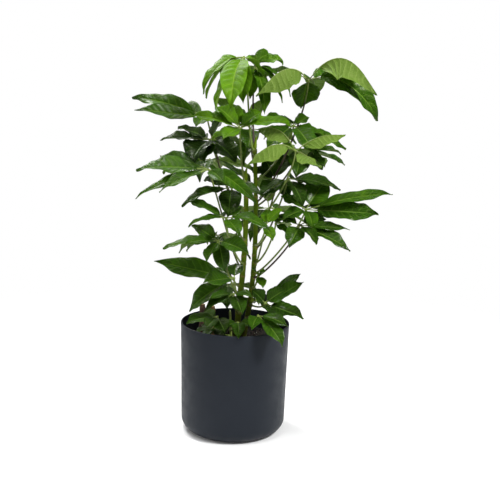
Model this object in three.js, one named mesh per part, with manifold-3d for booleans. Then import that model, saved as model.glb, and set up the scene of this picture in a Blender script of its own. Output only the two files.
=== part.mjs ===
// A potted umbrella plant, in millimetres, +Z up, with the origin under the middle of the pot's base.
// A round planter holds soil; two jointed stems, a young shoot and two pruned stubs stand in holes in it,
// and palmate fronds grow from the stems, each one a stalk, a hub and a ring of leaflets.
import * as THREE from "three";
import { mergeVertices } from "three/addons/utils/BufferGeometryUtils.js";
import Module from "manifold-3d";

const wasm = await Module();
wasm.setup();

// Pot and soil
const POT_HEIGHT = 255;
const POT_RIM_RADIUS = 125;
const POT_FOOT_RADIUS = 120;
const POT_WALL = 4;
const POT_FLOOR = 8;
const POT_BOTTOM_ROUND = 30;
const POT_SIDES = 36;
const RIM_STEPS = 3;
const BOTTOM_STEPS = 3;
const SOIL_LEVEL = 217;
const SOIL_LUMP = 4;
const SOIL_SIDES = 20;
const SOIL_RING_RADII = [98, 72, 46, 20];
const SOIL_EDGE_DROP = 5; // how far the soil's edge lies under its level
const SOIL_INSET = 1.5; // keeps the soil's corners inside the flats of the pot's wall
const GAP = 0.35; // between pieces that touch

// Stems: the course of each as four evenly high control points, [across, away], and its radii
const STEMS = {
  left: { course: [[0, -6], [6, -12], [28, -6], [14, -10]], foot: 160, top: 592, radii: [7.5, 5] },
  right: { course: [[6, 8], [52, 4], [42, 8], [34, 6]], foot: 160, top: 660, radii: [6.8, 4.2] },
};
const STEM_SIDES = 8;
const JOINT_SWELL = 1.1; // extra radius where a frond's stalk leaves the stem
const JOINT_HALF = 6; // half the length of that swelling
const STEM_BURIED = 45; // straight length at the foot of a stem, in the soil
const BUD_TIP = [4, -3, 22]; // from the top of a stem to the tip of its bud

// Stubs left by pruning
const STUBS = {
  dark: { at: [-72, -10], lean: [-4, 2], foot: 165, top: 297, radius: 7 },
  tan: { at: [-56, 12], lean: [2, 0], foot: 165, top: 288, radius: 7.5 },
};
const STUB_SIDES = 8;
// Rings of a stub, each as depth under its cut top, swelling, and roughness of the cut
const STUB_RINGS = [[93, 0.6, 0], [60, 0, 0], [52, 1.3, 0], [44, 0.2, 0], [14, -0.4, 0], [0, -1.2, 1.5]];

// Fronds
const STALK_SIDES = 5;
const STALK_STEPS = 6;
const STALK_RADIUS = 2.2;
const STALK_FOOT_RADIUS = 3.4;
const HUB_RADIUS = 4;
const HUB_HEIGHT = 2.5;
const STALK_LEAVES_LEVEL = 14; // the stalk leaves the stem square to it, and turns up over this length
const STALK_TURN_SHARE = 0.2; // or over this share of a short stalk's length
const STALK_RISE_SHARE = 0.35; // share of its length over which a stalk swings to the way its hub faces
const LEAF_THICKNESS = 1.8;
const LEAF_STALK_SHARE = 0.16; // share of a leaflet's length that is its own bare stalk
const LEAF_STALK_RADIUS = 1.5;
const LEAF_BASE_RADIUS = 1.3;
const LEAF_STATIONS = [0.14, 0.36, 0.62, 0.84];
const LEAF_FOLD = 0.32; // slope of a half blade away from the rib, for a leaflet that names no other
const LEAF_WAVE = 0.1; // height of the waves in the margin, as a share of the width
const LEAF_WAVES = 9; // radians of wave from base to tip
const LEAF_TILT = 0.12; // largest random tilt of a blade, in radians

const COLORS = {
  charcoal: 0x292c32,
  soil: 0x1d1710,
  stem: 0x667c33,
  darkBark: 0x3a2c20,
  tanBark: 0x6b5a3c,
  leaf: 0x2f4f14,
  youngLeaf: 0x5c7a2e,
};

// A leaflet is [across, away, up, width, arch, turn, fold]: hub to tip, its widest, how far the rib arches
// over the straight line as a share of the leaflet's length, a turn about the rib in degrees, and the
// slope of its halves. A leaflet turned by 180 hangs underside up, with its rib as the ridge.
const FRONDS = [
  {
    name: "frond_crown_left",
    stem: "right",
    joint: 650,
    hub: [5, -20, 850],
    faces: [-0.2, -0.3, 1],
    young: true,
    leaflets: [
      [-90, -10, -80, 46, 0.38], [-60, -20, -115, 52, 0.3], [-85, 55, -90, 44, 0.34],
      [-25, -110, -110, 58, 0.26], [0, -15, -100, 46, 0.22], [45, 35, -40, 44, 0.25],
      [-35, 85, -70, 44, 0.25],
    ],
  },
  {
    name: "frond_crown_middle",
    stem: "right",
    joint: 650,
    hub: [30, 35, 835],
    faces: [0.1, -0.2, 1],
    young: true,
    leaflets: [
      [-20, -15, 15, 26, 0.4, 35], [30, 10, 20, 34, 0.5, 45], [65, 25, 5, 46, 0.35, 25],
      [-10, -20, -75, 34, 0.2], [25, -55, -105, 38, 0.2], [65, -15, -80, 28, 0.3],
      [85, -5, -65, 28, 0.3], [0, 95, -55, 44, 0.2],
    ],
  },
  {
    name: "frond_crown_right",
    stem: "right",
    joint: 535,
    hub: [150, 30, 805],
    faces: [0, -0.3, 1],
    young: true,
    leaflets: [
      [-115, -80, -40, 84, 0.58, 180, 0.9], [-115, 110, -5, 50, 0.3, 20], [-10, 55, -65, 66, 0.3, 180],
      [145, -40, -30, 92, 0.86, 180, 0.9], [165, 10, -85, 60, 0.45, 30], [30, 110, -30, 50, 0.25],
      [90, 95, 5, 46, 0.2],
    ],
  },
  {
    name: "frond_high_far_left",
    stem: "left",
    joint: 480,
    hub: [-75, 25, 720],
    faces: [-0.2, -0.7, 1],
    leaflets: [
      [-170, 15, 40, 44, 0.05, -5], [-155, -45, 15, 40, -0.03, -10], [-20, -65, -20, 34, 0.1],
      [-90, 100, 10, 48, 0.12], [10, 115, -15, 46, 0.12], [80, 60, -20, 42, 0.12],
    ],
  },
  {
    name: "frond_high_front",
    stem: "left",
    joint: 580,
    hub: [0, -70, 700],
    faces: [0, -0.5, 1],
    young: true,
    leaflets: [
      [-55, 20, 45, 46, 0.16], [-60, -20, -25, 32, 0.1], [-35, -60, -20, 36, 0.1],
      [-105, 0, 25, 34, 0.1], [45, 10, 35, 40, 0.15], [110, -25, 10, 42, 0.2], [-20, 50, 50, 34, 0.1],
      [45, 75, 10, 40, 0.12],
    ],
  },
  {
    name: "frond_high_left",
    stem: "left",
    joint: 505,
    hub: [-65, 0, 670],
    faces: [-0.3, -0.3, 1],
    leaflets: [
      [-110, -25, 0, 44, 0.05], [-75, 30, 25, 40, 0.05], [-35, -65, -40, 76, 0.1, -10],
      [-10, -65, -45, 44, 0.05], [25, 10, 45, 38, 0.1], [60, -30, -45, 60, 0.15],
      [-50, 95, -20, 44, 0.12], [75, 90, -15, 42, 0.12],
    ],
  },
  {
    name: "frond_mid_far_left",
    stem: "left",
    joint: 385,
    hub: [-65, -70, 610],
    faces: [-0.3, -0.7, 1],
    leaflets: [
      [-110, 45, 25, 36, 0.08], [-155, -20, 0, 54, 0.07], [-155, -40, -60, 28, 0.12],
      [-100, -80, -40, 36, 0.08, 5], [105, -40, -65, 34, 0.3], [35, -70, -20, 32, 0.1],
      [-45, 95, -10, 42, 0.12], [50, 80, -25, 42, 0.12],
    ],
  },
  {
    name: "frond_mid_front_left",
    stem: "left",
    joint: 395,
    hub: [-25, -100, 510],
    faces: [0, -0.4, 1],
    leaflets: [
      [-85, 10, 35, 34, 0.05], [-80, -30, -15, 24, 0.22], [95, -30, -20, 34, 0.26],
      [35, 30, 25, 32, 0.1], [30, -75, -25, 34, 0.1], [-40, 75, -15, 36, 0.12],
    ],
  },
  {
    name: "frond_mid_left",
    stem: "left",
    joint: 450,
    hub: [-15, -45, 570],
    faces: [-0.1, -0.5, 1],
    leaflets: [
      [-105, -85, -30, 38, 0.12], [-5, -65, -55, 50, 0.15], [65, -45, -10, 42, 0.1],
      [-65, 60, 10, 38, 0.12], [20, 125, -5, 42, 0.12],
    ],
  },
  {
    name: "frond_low_front_left",
    stem: "left",
    joint: 320,
    hub: [-40, -100, 460],
    faces: [-0.2, -0.5, 1],
    leaflets: [
      [-60, 25, 30, 38, 0.05], [-120, -10, -15, 36, 0.08], [-70, -40, 0, 30, 0.1],
      [65, -60, -15, 44, 0.12], [15, -40, -60, 36, 0.1], [-25, -50, -35, 32, 0.1],
      [0, 90, -10, 38, 0.12],
    ],
  },
  {
    name: "frond_low_far_left",
    stem: "left",
    joint: 310,
    hub: [-5, -60, 370],
    faces: [-0.1, -1, 1],
    leaflets: [
      [-175, -20, 40, 50, -0.06], [-65, -70, 5, 46, 0.05], [-100, -25, -70, 48, 0.14],
      [-50, 80, 5, 42, 0.12], [5, 45, 25, 38, 0.12],
    ],
  },
  {
    name: "frond_low_front_small",
    stem: "left",
    joint: 280,
    hub: [-5, -85, 340],
    faces: [0, -0.4, 1],
    leaflets: [
      [-50, -40, 0, 26, 0.1], [20, -55, -30, 36, 0.1], [-65, -15, -35, 30, 0.1], [40, -35, 5, 24, 0.1],
    ],
  },
  {
    name: "frond_low_right",
    stem: "right",
    joint: 295,
    hub: [65, -60, 315],
    faces: [0.1, -0.8, 1],
    leaflets: [
      [-30, 0, 30, 36, 0.1], [45, 5, 30, 42, 0.1], [85, 10, 50, 38, -0.04, -5], [85, 80, 55, 26, 0.1],
      [85, -40, -20, 44, -0.04], [10, 85, -5, 38, 0.12],
    ],
  },
  {
    name: "frond_rim_right",
    stem: "right",
    joint: 265,
    hub: [50, -95, 295],
    faces: [0.2, -0.5, 1],
    leaflets: [
      [55, -45, -55, 40, 0.16], [65, -25, -15, 34, 0.14], [-15, -55, -15, 30, 0.1],
    ],
  },
  {
    name: "frond_low_crumpled",
    stem: "right",
    joint: 335,
    hub: [50, -30, 370],
    faces: [0.2, -0.5, 1],
    young: true,
    leaflets: [
      [15, -10, 15, 22, 0.1], [-15, -20, 20, 22, 0.1], [10, -30, -20, 24, 0.1],
    ],
  },
  {
    name: "frond_mid_far_right",
    stem: "right",
    joint: 370,
    hub: [150, -40, 525],
    faces: [0.2, -0.6, 1],
    leaflets: [
      [185, -30, 45, 36, 0.06], [155, -40, 0, 58, 0, 18], [45, 55, 55, 58, 0.1], [-55, 25, 25, 46, 0.1],
      [-55, -60, -15, 34, 0.1], [10, -80, -30, 34, 0.1], [75, 85, -5, 44, 0.12],
      [0, 105, -10, 42, 0.12],
    ],
  },
  {
    name: "frond_mid_front_right",
    stem: "right",
    joint: 360,
    hub: [135, -75, 495],
    faces: [0.2, -0.6, 1],
    leaflets: [
      [110, -5, -5, 26, 0.03], [110, -35, -45, 42, 0.03, -5], [-50, 5, 15, 34, 0.1],
      [-25, -50, -40, 42, 0.1], [35, -55, -30, 34, 0.1], [65, 90, 5, 36, 0.12],
    ],
  },
  {
    name: "frond_mid_front_small",
    stem: "right",
    joint: 435,
    hub: [60, -90, 495],
    faces: [0, -0.4, 1],
    young: true,
    leaflets: [
      [-35, -15, 15, 24, 0.1], [5, 35, 30, 26, 0.1], [35, 15, 35, 28, 0.1], [15, -50, -25, 26, 0.1],
    ],
  },
  {
    name: "frond_mid_small",
    stem: "right",
    joint: 395,
    hub: [85, -30, 490],
    faces: [0.1, -0.1, 1],
    young: true,
    leaflets: [
      [-15, 10, 30, 32, 0.1], [35, 20, 20, 32, 0.1], [25, -30, -20, 34, 0.1], [35, 70, -20, 36, 0.12],
    ],
  },
  {
    name: "frond_high_front_right",
    stem: "right",
    joint: 490,
    hub: [120, -75, 655],
    faces: [0, -0.5, 1],
    young: true,
    leaflets: [
      [-85, 15, 35, 54, 0.66, 180, 0.8], [-105, -35, -35, 58, 0.55, 180, 0.8],
      [105, 0, 35, 44, 0.28, 180, 0.8], [50, -65, -30, 48, 0.12, 165], [30, 95, -20, 44, 0.12],
      [-45, 80, 0, 42, 0.12],
    ],
  },
  {
    name: "frond_high_right",
    stem: "right",
    joint: 585,
    hub: [120, 20, 705],
    faces: [0.1, -0.3, 1],
    leaflets: [
      [70, -10, -20, 46, 0], [120, -10, -45, 44, -0.04], [-70, 10, 15, 44, 0.1],
      [-60, -50, -50, 54, 0.1], [35, 10, 20, 36, 0.1], [40, -90, -55, 50, 0.12], [0, 125, 0, 46, 0.12],
      [75, 85, -55, 46, 0.12], [-65, 85, -35, 44, 0.12],
    ],
  },
  {
    name: "frond_mid_right",
    stem: "right",
    joint: 430,
    hub: [110, -20, 590],
    faces: [0.2, -0.5, 1],
    leaflets: [
      [85, -50, -5, 40, 0.05], [120, 10, -20, 44, 0.05], [-65, -25, -40, 45, 0.1, 30],
      [30, -70, -50, 44, 0.1], [30, 95, -20, 40, 0.12],
    ],
  },
  {
    name: "frond_high_back_right",
    stem: "right",
    joint: 525,
    hub: [140, 75, 650],
    faces: [0.2, -0.2, 1],
    leaflets: [
      [95, -10, -5, 40, 0.05], [110, 25, -35, 42, 0.05], [50, -55, -40, 48, 0.1],
      [-10, -60, -60, 52, 0.1], [-25, 85, -40, 44, 0.12], [-70, 40, -20, 40, 0.12],
      [70, 85, -45, 44, 0.12],
    ],
  },
  {
    name: "frond_high_back_middle",
    stem: "right",
    joint: 465,
    hub: [85, 30, 580],
    faces: [0, -0.4, 1],
    leaflets: [
      [20, 60, 55, 50, 0.1], [-30, 15, 50, 42, 0.1], [-60, 20, 25, 46, 0.1], [-25, -70, -30, 50, 0.1],
      [30, -20, -35, 48, 0.1], [-10, 95, -35, 44, 0.12], [105, 70, -60, 42, 0.12],
    ],
  },
  {
    name: "frond_back_high_left",
    stem: "left",
    joint: 490,
    hub: [-70, 135, 615],
    faces: [-0.19, 0.3, 1],
    leaflets: [
      [110, 40, -30, 44, 0.12], [20, 110, -40, 44, 0.12], [-105, 85, -50, 44, 0.12],
      [-110, -40, -30, 44, 0.12], [-20, -110, -40, 44, 0.12], [105, -85, -50, 44, 0.12],
    ],
  },
  {
    name: "frond_back_mid_right",
    stem: "right",
    joint: 375,
    hub: [75, 150, 500],
    faces: [0.13, 0.32, 1],
    leaflets: [
      [-20, -40, 90, 46, 0.1], [-45, -50, -75, 44, 0.12], [80, 95, -30, 44, 0.12],
      [-95, 80, -40, 44, 0.12], [-80, -95, -50, 44, 0.12], [95, -80, -30, 44, 0.12],
    ],
  },
  {
    name: "frond_back_high",
    stem: "right",
    joint: 610,
    hub: [25, 120, 690],
    faces: [0.03, 0.35, 1],
    leaflets: [
      [-85, -60, 70, 46, 0.1], [30, -10, 75, 40, 0.1], [-15, -60, -80, 48, 0.1],
      [115, 65, -30, 46, 0.12], [-95, 55, -40, 46, 0.12], [-5, -110, -40, 46, 0.12],
    ],
  },
  {
    name: "frond_back_mid_left",
    stem: "left",
    joint: 335,
    hub: [-55, 125, 435],
    faces: [-0.17, 0.31, 1],
    leaflets: [
      [65, 55, -30, 38, 0.12], [-20, 105, -40, 38, 0.12], [-90, 30, -50, 38, 0.12],
      [-65, -55, -30, 38, 0.12], [20, -105, -40, 38, 0.12], [90, -30, -50, 38, 0.12],
    ],
  },
  {
    name: "frond_back_low_right",
    stem: "right",
    joint: 305,
    hub: [50, 100, 290],
    faces: [0.12, 0.33, 1],
    leaflets: [
      [75, 15, -30, 34, 0.12], [10, 90, -40, 34, 0.12], [-60, 45, -60, 34, 0.12],
      [-40, -65, -20, 34, 0.12], [40, -70, -40, 34, 0.12],
    ],
  },
  {
    name: "frond_back_low_left",
    stem: "left",
    joint: 295,
    hub: [-20, 115, 315],
    faces: [-0.1, 0.33, 1],
    leaflets: [
      [80, 45, -30, 34, 0.12], [0, 85, -40, 34, 0.12], [-65, 40, -50, 34, 0.12],
      [-80, -45, -30, 34, 0.12], [0, -85, -40, 34, 0.12], [55, -40, -65, 34, 0.12],
    ],
  },
];

const SHOOT = {
  course: [[-6, -36, 172], [-8, -38, 215], [-12, -42, 288]],
  radius: 3.2,
  sides: 6,
  fronds: [
    {
      joint: [-11, -41, 262],
      hub: [-40, -72, 283],
      faces: [-0.2, -0.6, 1],
      leaflets: [
        [-68, -20, -8, 34, 0.1], [20, -38, -24, 38, 0.15], [-22, -40, -14, 34, 0.15],
        [-35, 30, 0, 30, 0.1],
      ],
    },
    {
      joint: [-9, -39, 232],
      hub: [-46, -48, 250],
      faces: [-0.4, -0.3, 1],
      leaflets: [
        [-42, -14, -8, 28, 0.15], [-18, -46, -8, 30, 0.2], [-28, 30, 0, 26, 0.15],
        [26, -38, -6, 28, 0.25],
      ],
    },
    {
      joint: [-10, -40, 246],
      hub: [6, -76, 272],
      faces: [0.1, -0.5, 1],
      leaflets: [[36, -14, -4, 30, 0.15], [2, -54, -20, 30, 0.4], [-34, -20, -4, 28, 0.15]],
    },
  ],
};

const point = (x, y, z) => new THREE.Vector3(x, y, z);

// A number from -1 to 1 that looks random and is the same for the same seed
function noise(seed) {
  const wave = Math.sin(seed * 12.9898) * 43758.5453;
  return 2 * (wave - Math.floor(wave)) - 1;
}

// A closed surface through rings of as many points each, with a flat start and a flat or pointed end.
// Ribs and margins alternate round a ring, and each diagonal runs from a margin to the next rib, so that
// both faces of a waved blade are split alike.
function loft(rings, tip) {
  const points = rings.flat();
  const count = rings[0].length;
  const faces = [];
  for (let ring = 0; ring + 1 < rings.length; ring += 1) {
    for (let side = 0; side < count; side += 1) {
      const a = ring * count + side;
      const b = ring * count + ((side + 1) % count);
      const c = b + count;
      const d = a + count;
      if (side % 2) faces.push(a, b, d, b, c, d);
      else faces.push(a, b, c, a, c, d);
    }
  }
  for (let side = 1; side + 1 < count; side += 1) faces.push(0, side + 1, side);
  const last = (rings.length - 1) * count;
  if (tip) {
    points.push(tip);
    for (let side = 0; side < count; side += 1) {
      faces.push(last + side, last + ((side + 1) % count), points.length - 1);
    }
  } else {
    for (let side = 1; side + 1 < count; side += 1) faces.push(last, last + side, last + side + 1);
  }
  const geometry = new THREE.BufferGeometry().setFromPoints(points);
  geometry.setIndex(faces);
  return geometry;
}

function solidOf(geometry) {
  geometry.deleteAttribute("normal");
  geometry.deleteAttribute("uv");
  const merged = mergeVertices(geometry);
  return new wasm.Manifold(
    new wasm.Mesh({
      numProp: 3,
      vertProperties: new Float32Array(merged.attributes.position.array),
      triVerts: new Uint32Array(merged.index.array),
    }),
  );
}

function fuse(geometries) {
  const solids = geometries.map(solidOf);
  return solids.reduce((whole, piece) => whole.add(piece));
}

// A named mesh of a fused solid
function meshOf(name, solid, color, roughness) {
  const { vertProperties, triVerts } = solid.getMesh();
  const geometry = new THREE.BufferGeometry();
  geometry.setAttribute("position", new THREE.BufferAttribute(vertProperties, 3));
  geometry.setIndex(new THREE.BufferAttribute(triVerts, 1));
  geometry.computeVertexNormals();
  const material = new THREE.MeshStandardMaterial({ color, roughness, metalness: 0 });
  const mesh = new THREE.Mesh(geometry, material);
  mesh.name = name;
  return mesh;
}

// A tube along a curve whose radius is a function of the share of its length
function tube(curve, sides, steps, radiusAt) {
  const frames = curve.computeFrenetFrames(steps, false);
  const rings = [];
  for (let step = 0; step <= steps; step += 1) {
    const share = step / steps;
    const centre = curve.getPointAt(share);
    const ring = [];
    for (let side = 0; side < sides; side += 1) {
      const angle = (2 * Math.PI * side) / sides;
      const reach = frames.normals[step].clone().multiplyScalar(Math.cos(angle));
      reach.addScaledVector(frames.binormals[step], Math.sin(angle));
      ring.push(centre.clone().addScaledVector(reach, radiusAt(share)));
    }
    rings.push(ring);
  }
  return loft(rings);
}

// A level ring of points, whose height may change round it
function levelRing(centre, radius, sides, heightAt) {
  const ring = [];
  for (let side = 0; side < sides; side += 1) {
    const angle = (2 * Math.PI * side) / sides;
    const lift = heightAt ? heightAt(side) : 0;
    ring.push(
      point(centre.x + radius * Math.cos(angle), centre.y + radius * Math.sin(angle), centre.z + lift),
    );
  }
  return ring;
}

// The outer radius of the pot's wall, which opens a little from foot to rim
function potRadius(height) {
  return POT_FOOT_RADIUS + ((POT_RIM_RADIUS - POT_FOOT_RADIUS) * height) / POT_HEIGHT;
}

// Points as [radius, height] on an arc round a centre, from one angle to another in quarter turns
function arc([middle, level], radius, from, to, steps) {
  const line = [];
  for (let step = 0; step <= steps; step += 1) {
    const angle = (Math.PI / 2) * (from + ((to - from) * step) / steps);
    line.push([middle + radius * Math.cos(angle), level + radius * Math.sin(angle)]);
  }
  return line;
}

// The rounded bottom edge of the pot, inset from its outer face
function bottomEdge(inset, floor) {
  const round = POT_BOTTOM_ROUND - inset;
  const middle = potRadius(POT_BOTTOM_ROUND) - POT_BOTTOM_ROUND;
  return arc([middle, floor + round], round, -1, 0, BOTTOM_STEPS);
}

function makePot() {
  const rim = POT_WALL / 2;
  const line = [
    [0, 0],
    ...bottomEdge(0, 0),
    ...arc([POT_RIM_RADIUS - rim, POT_HEIGHT - rim], rim, 0, 2, RIM_STEPS),
    ...bottomEdge(POT_WALL, POT_FLOOR).reverse(),
    [0, POT_FLOOR],
  ];
  const profile = line.map(([radius, height]) => new THREE.Vector2(radius, height));
  const geometry = new THREE.LatheGeometry(profile, POT_SIDES);
  geometry.rotateX(Math.PI / 2);
  return meshOf("pot", solidOf(geometry), COLORS.charcoal, 0.55);
}

// The stem's centre at a height, and its radius there, with a swelling at each joint
function stemCentre(stem, height) {
  const along = (height - stem.foot) / (stem.top - stem.foot);
  const rise = (stem.top - stem.foot) / 3;
  const controls = stem.course.map(([x, y], index) => point(x, y, stem.foot + rise * index));
  return new THREE.CubicBezierCurve3(...controls).getPoint(along);
}

function stemRadius(stem, height) {
  const along = (height - stem.foot) / (stem.top - stem.foot);
  return THREE.MathUtils.lerp(...stem.radii, along);
}

function makeStem(side, clearance) {
  const stem = STEMS[side];
  const joints = FRONDS.filter((frond) => frond.stem === side).map((frond) => frond.joint);
  const stations = [[stem.foot - clearance, 0], [stem.foot + STEM_BURIED, 0]];
  joints.sort((a, b) => a - b);
  joints.forEach((joint, index) => {
    const below = index ? joints[index - 1] : stem.foot + STEM_BURIED;
    const above = index + 1 < joints.length ? joints[index + 1] : stem.top;
    if (joint - JOINT_HALF > below + JOINT_HALF) stations.push([joint - JOINT_HALF, 0]);
    stations.push([joint, JOINT_SWELL]);
    if (joint + JOINT_HALF < above - JOINT_HALF) stations.push([joint + JOINT_HALF, 0]);
  });
  stations.push([stem.top, 0]);
  const rings = stations.map(([height, swell]) =>
    levelRing(stemCentre(stem, height), stemRadius(stem, height) + swell + clearance, STEM_SIDES),
  );
  const bud = stemCentre(stem, stem.top).add(point(...BUD_TIP));
  return loft(rings, bud);
}

function makeStub(side, clearance) {
  const { at, lean, foot, top, radius } = STUBS[side];
  const centre = (height) => {
    const share = (height - foot) / (top - foot);
    return point(at[0] + lean[0] * share, at[1] + lean[1] * share, height);
  };
  const foundation = levelRing(centre(foot - clearance), radius + clearance, STUB_SIDES);
  const rings = STUB_RINGS.map(([below, swell, rough]) => {
    const torn = (corner) => rough * noise(corner + at[0]);
    return levelRing(centre(top - below), radius + swell + clearance, STUB_SIDES, torn);
  });
  return loft([foundation, ...rings]);
}

// Half the width of a blade, as a share of its widest, from its base at 0 to its pointed tip at 1
const bladeOutline = (along) => 2.8 * along ** 0.6 * (1 - along) ** 0.85;

// One leaflet: a thin stalk and a blade that is folded along its rib, with a waved margin. A section has
// four points, at each margin and over and under the rib.
function makeLeaflet(hub, faces, [across, away, up, width, arch, turn = 0, fold = LEAF_FOLD], seed) {
  const reach = point(across, away, up);
  const axis = point(...faces).normalize();
  const rise = reach.dot(axis);
  const outward = reach.clone().addScaledVector(axis, -rise);
  const level = outward.length();
  outward.normalize();
  const sideways = new THREE.Vector3().crossVectors(axis, outward);
  const crest = hub.clone().addScaledVector(outward, level / 2);
  crest.addScaledVector(axis, rise / 2 + arch * reach.length());
  const tip = hub.clone().add(reach);
  const rib = new THREE.QuadraticBezierCurve3(hub, crest, tip);
  const tilt = LEAF_TILT * noise(seed + 3);
  const spread = 1 / Math.hypot(1, fold);

  const section = (share, half, thickness, marginLift) => {
    const centre = rib.getPoint(share);
    const along = rib.getTangent(share);
    const turned = THREE.MathUtils.degToRad(turn) * Math.min(1, share / LEAF_STALK_SHARE) + tilt;
    const over = new THREE.Vector3().crossVectors(along, sideways).applyAxisAngle(along, turned);
    const beside = sideways.clone().applyAxisAngle(along, turned);
    const at = (sidewaysBy, overBy) =>
      centre.clone().addScaledVector(beside, sidewaysBy).addScaledVector(over, overBy);
    return [
      at(half, marginLift(1)),
      at(0, thickness / 2),
      at(-half, marginLift(2)),
      at(0, -thickness / 2),
    ];
  };
  const flat = () => 0;
  const rings = [
    section(0, LEAF_STALK_RADIUS, 2 * LEAF_STALK_RADIUS, flat),
    section(LEAF_STALK_SHARE, LEAF_BASE_RADIUS, 2 * LEAF_BASE_RADIUS, flat),
  ];
  LEAF_STATIONS.forEach((along) => {
    const half = (width / 2) * bladeOutline(along) * spread;
    const waved = (edge) => {
      const wave = Math.sin(LEAF_WAVES * along + 6 * noise(seed + edge)) * Math.min(1, 3 * along);
      return fold * half + LEAF_WAVE * width * spread ** 2 * wave;
    };
    const share = LEAF_STALK_SHARE + (1 - LEAF_STALK_SHARE) * along;
    rings.push(section(share, half, LEAF_THICKNESS, waved));
  });
  return loft(rings, tip);
}

// The stalk of a frond, from its flared foot at `start` to the small knob that is the hub
function makeStalk(start, outward, hub, faces) {
  const axis = point(...faces).normalize();
  const length = hub.distanceTo(start);
  const curve = new THREE.CubicBezierCurve3(
    start,
    start.clone().addScaledVector(outward, Math.min(STALK_LEAVES_LEVEL, STALK_TURN_SHARE * length)),
    hub.clone().addScaledVector(axis, -STALK_RISE_SHARE * length),
    hub.clone().addScaledVector(axis, HUB_HEIGHT),
  );
  return tube(curve, STALK_SIDES, STALK_STEPS, (share) => {
    if (share === 0) return STALK_FOOT_RADIUS;
    return share === 1 ? HUB_RADIUS : STALK_RADIUS;
  });
}

function makeFrond({ name, stem, joint, hub, faces, leaflets, young }, index) {
  const centre = stemCentre(STEMS[stem], joint);
  const top = point(...hub);
  const outward = point(top.x - centre.x, top.y - centre.y, 0).normalize();
  const surface = stemRadius(STEMS[stem], joint) + JOINT_SWELL + GAP;
  const start = centre.addScaledVector(outward, surface);
  const pieces = [makeStalk(start, outward, top, faces)];
  leaflets.forEach((leaflet, place) => {
    pieces.push(makeLeaflet(top, faces, leaflet, 31 * index + 7 * place + 1));
  });
  return meshOf(name, fuse(pieces), young ? COLORS.youngLeaf : COLORS.leaf, 0.4);
}

// The young shoot: a short stem whose few small fronds are grown fast to it
function shootStem(clearance) {
  const rings = SHOOT.course.map(([x, y, z], index) => {
    const foot = index ? 0 : clearance;
    return levelRing(point(x, y, z - foot), SHOOT.radius + clearance, SHOOT.sides);
  });
  return loft(rings);
}

function makeShoot() {
  const pieces = [shootStem(0)];
  SHOOT.fronds.forEach(({ joint, hub, faces, leaflets }, index) => {
    const start = point(...joint);
    const top = point(...hub);
    const outward = point(top.x - start.x, top.y - start.y, 0).normalize();
    pieces.push(makeStalk(start, outward, top, faces));
    leaflets.forEach((leaflet, place) => {
      pieces.push(makeLeaflet(top, faces, leaflet, 1000 + 31 * index + 7 * place));
    });
  });
  return meshOf("young_shoot", fuse(pieces), COLORS.leaf, 0.4);
}

// The soil: the inside of the pot up to a lumpy surface, less a hole for each thing that stands in it
function makeSoil() {
  const rings = bottomEdge(POT_WALL, POT_FLOOR).map(([radius, height]) =>
    levelRing(point(0, 0, height + GAP), radius - SOIL_INSET, SOIL_SIDES),
  );
  const edge = SOIL_LEVEL - SOIL_EDGE_DROP;
  rings.push(levelRing(point(0, 0, edge), potRadius(edge) - POT_WALL - SOIL_INSET, SOIL_SIDES));
  SOIL_RING_RADII.forEach((radius, ring) => {
    const lump = (side) => SOIL_LUMP * noise(100 * ring + side);
    rings.push(levelRing(point(0, 0, SOIL_LEVEL), radius, SOIL_SIDES, lump));
  });
  let soil = solidOf(loft(rings, point(0, 0, SOIL_LEVEL)));
  const standing = [
    makeStem("left", GAP),
    makeStem("right", GAP),
    makeStub("dark", GAP),
    makeStub("tan", GAP),
    shootStem(GAP),
  ];
  standing.forEach((piece) => {
    soil = soil.subtract(solidOf(piece));
  });
  return meshOf("soil", soil, COLORS.soil, 0.95);
}

const plant = new THREE.Group();
plant.add(makePot(), makeSoil());
plant.add(meshOf("stem_left", solidOf(makeStem("left", 0)), COLORS.stem, 0.5));
plant.add(meshOf("stem_right", solidOf(makeStem("right", 0)), COLORS.stem, 0.5));
plant.add(meshOf("stub_dark", solidOf(makeStub("dark", 0)), COLORS.darkBark, 0.85));
plant.add(meshOf("stub_tan", solidOf(makeStub("tan", 0)), COLORS.tanBark, 0.85));
plant.add(makeShoot());
FRONDS.forEach((frond, index) => plant.add(makeFrond(frond, index)));

export default plant;
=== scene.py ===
# %% [markdown]
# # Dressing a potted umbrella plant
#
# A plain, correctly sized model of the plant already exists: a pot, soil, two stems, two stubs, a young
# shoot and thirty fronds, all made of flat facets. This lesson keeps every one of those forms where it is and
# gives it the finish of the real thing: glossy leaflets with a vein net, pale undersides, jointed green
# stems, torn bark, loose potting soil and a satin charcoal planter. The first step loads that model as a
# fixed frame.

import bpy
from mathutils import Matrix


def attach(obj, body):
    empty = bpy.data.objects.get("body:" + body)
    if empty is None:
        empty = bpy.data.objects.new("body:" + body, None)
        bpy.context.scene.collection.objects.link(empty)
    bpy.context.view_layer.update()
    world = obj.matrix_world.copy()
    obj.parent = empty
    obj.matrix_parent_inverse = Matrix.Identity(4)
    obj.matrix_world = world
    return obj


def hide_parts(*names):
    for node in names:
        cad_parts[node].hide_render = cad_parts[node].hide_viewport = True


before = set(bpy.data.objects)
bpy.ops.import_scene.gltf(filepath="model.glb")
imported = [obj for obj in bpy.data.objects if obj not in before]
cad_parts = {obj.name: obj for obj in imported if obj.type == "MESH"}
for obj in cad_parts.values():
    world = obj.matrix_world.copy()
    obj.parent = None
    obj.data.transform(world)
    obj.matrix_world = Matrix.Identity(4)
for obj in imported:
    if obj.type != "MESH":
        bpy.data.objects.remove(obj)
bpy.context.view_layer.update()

# %% [markdown]
# ## Camera
#
# The photograph was taken from a little above the pot's rim, about two metres away, with a long lens that
# hardly spreads the pot's sides. A camera could be placed by eye, but here each angle is named, because the
# rim's ellipse gives the height of the camera and the pot's leaning sides give its small roll.

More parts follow.
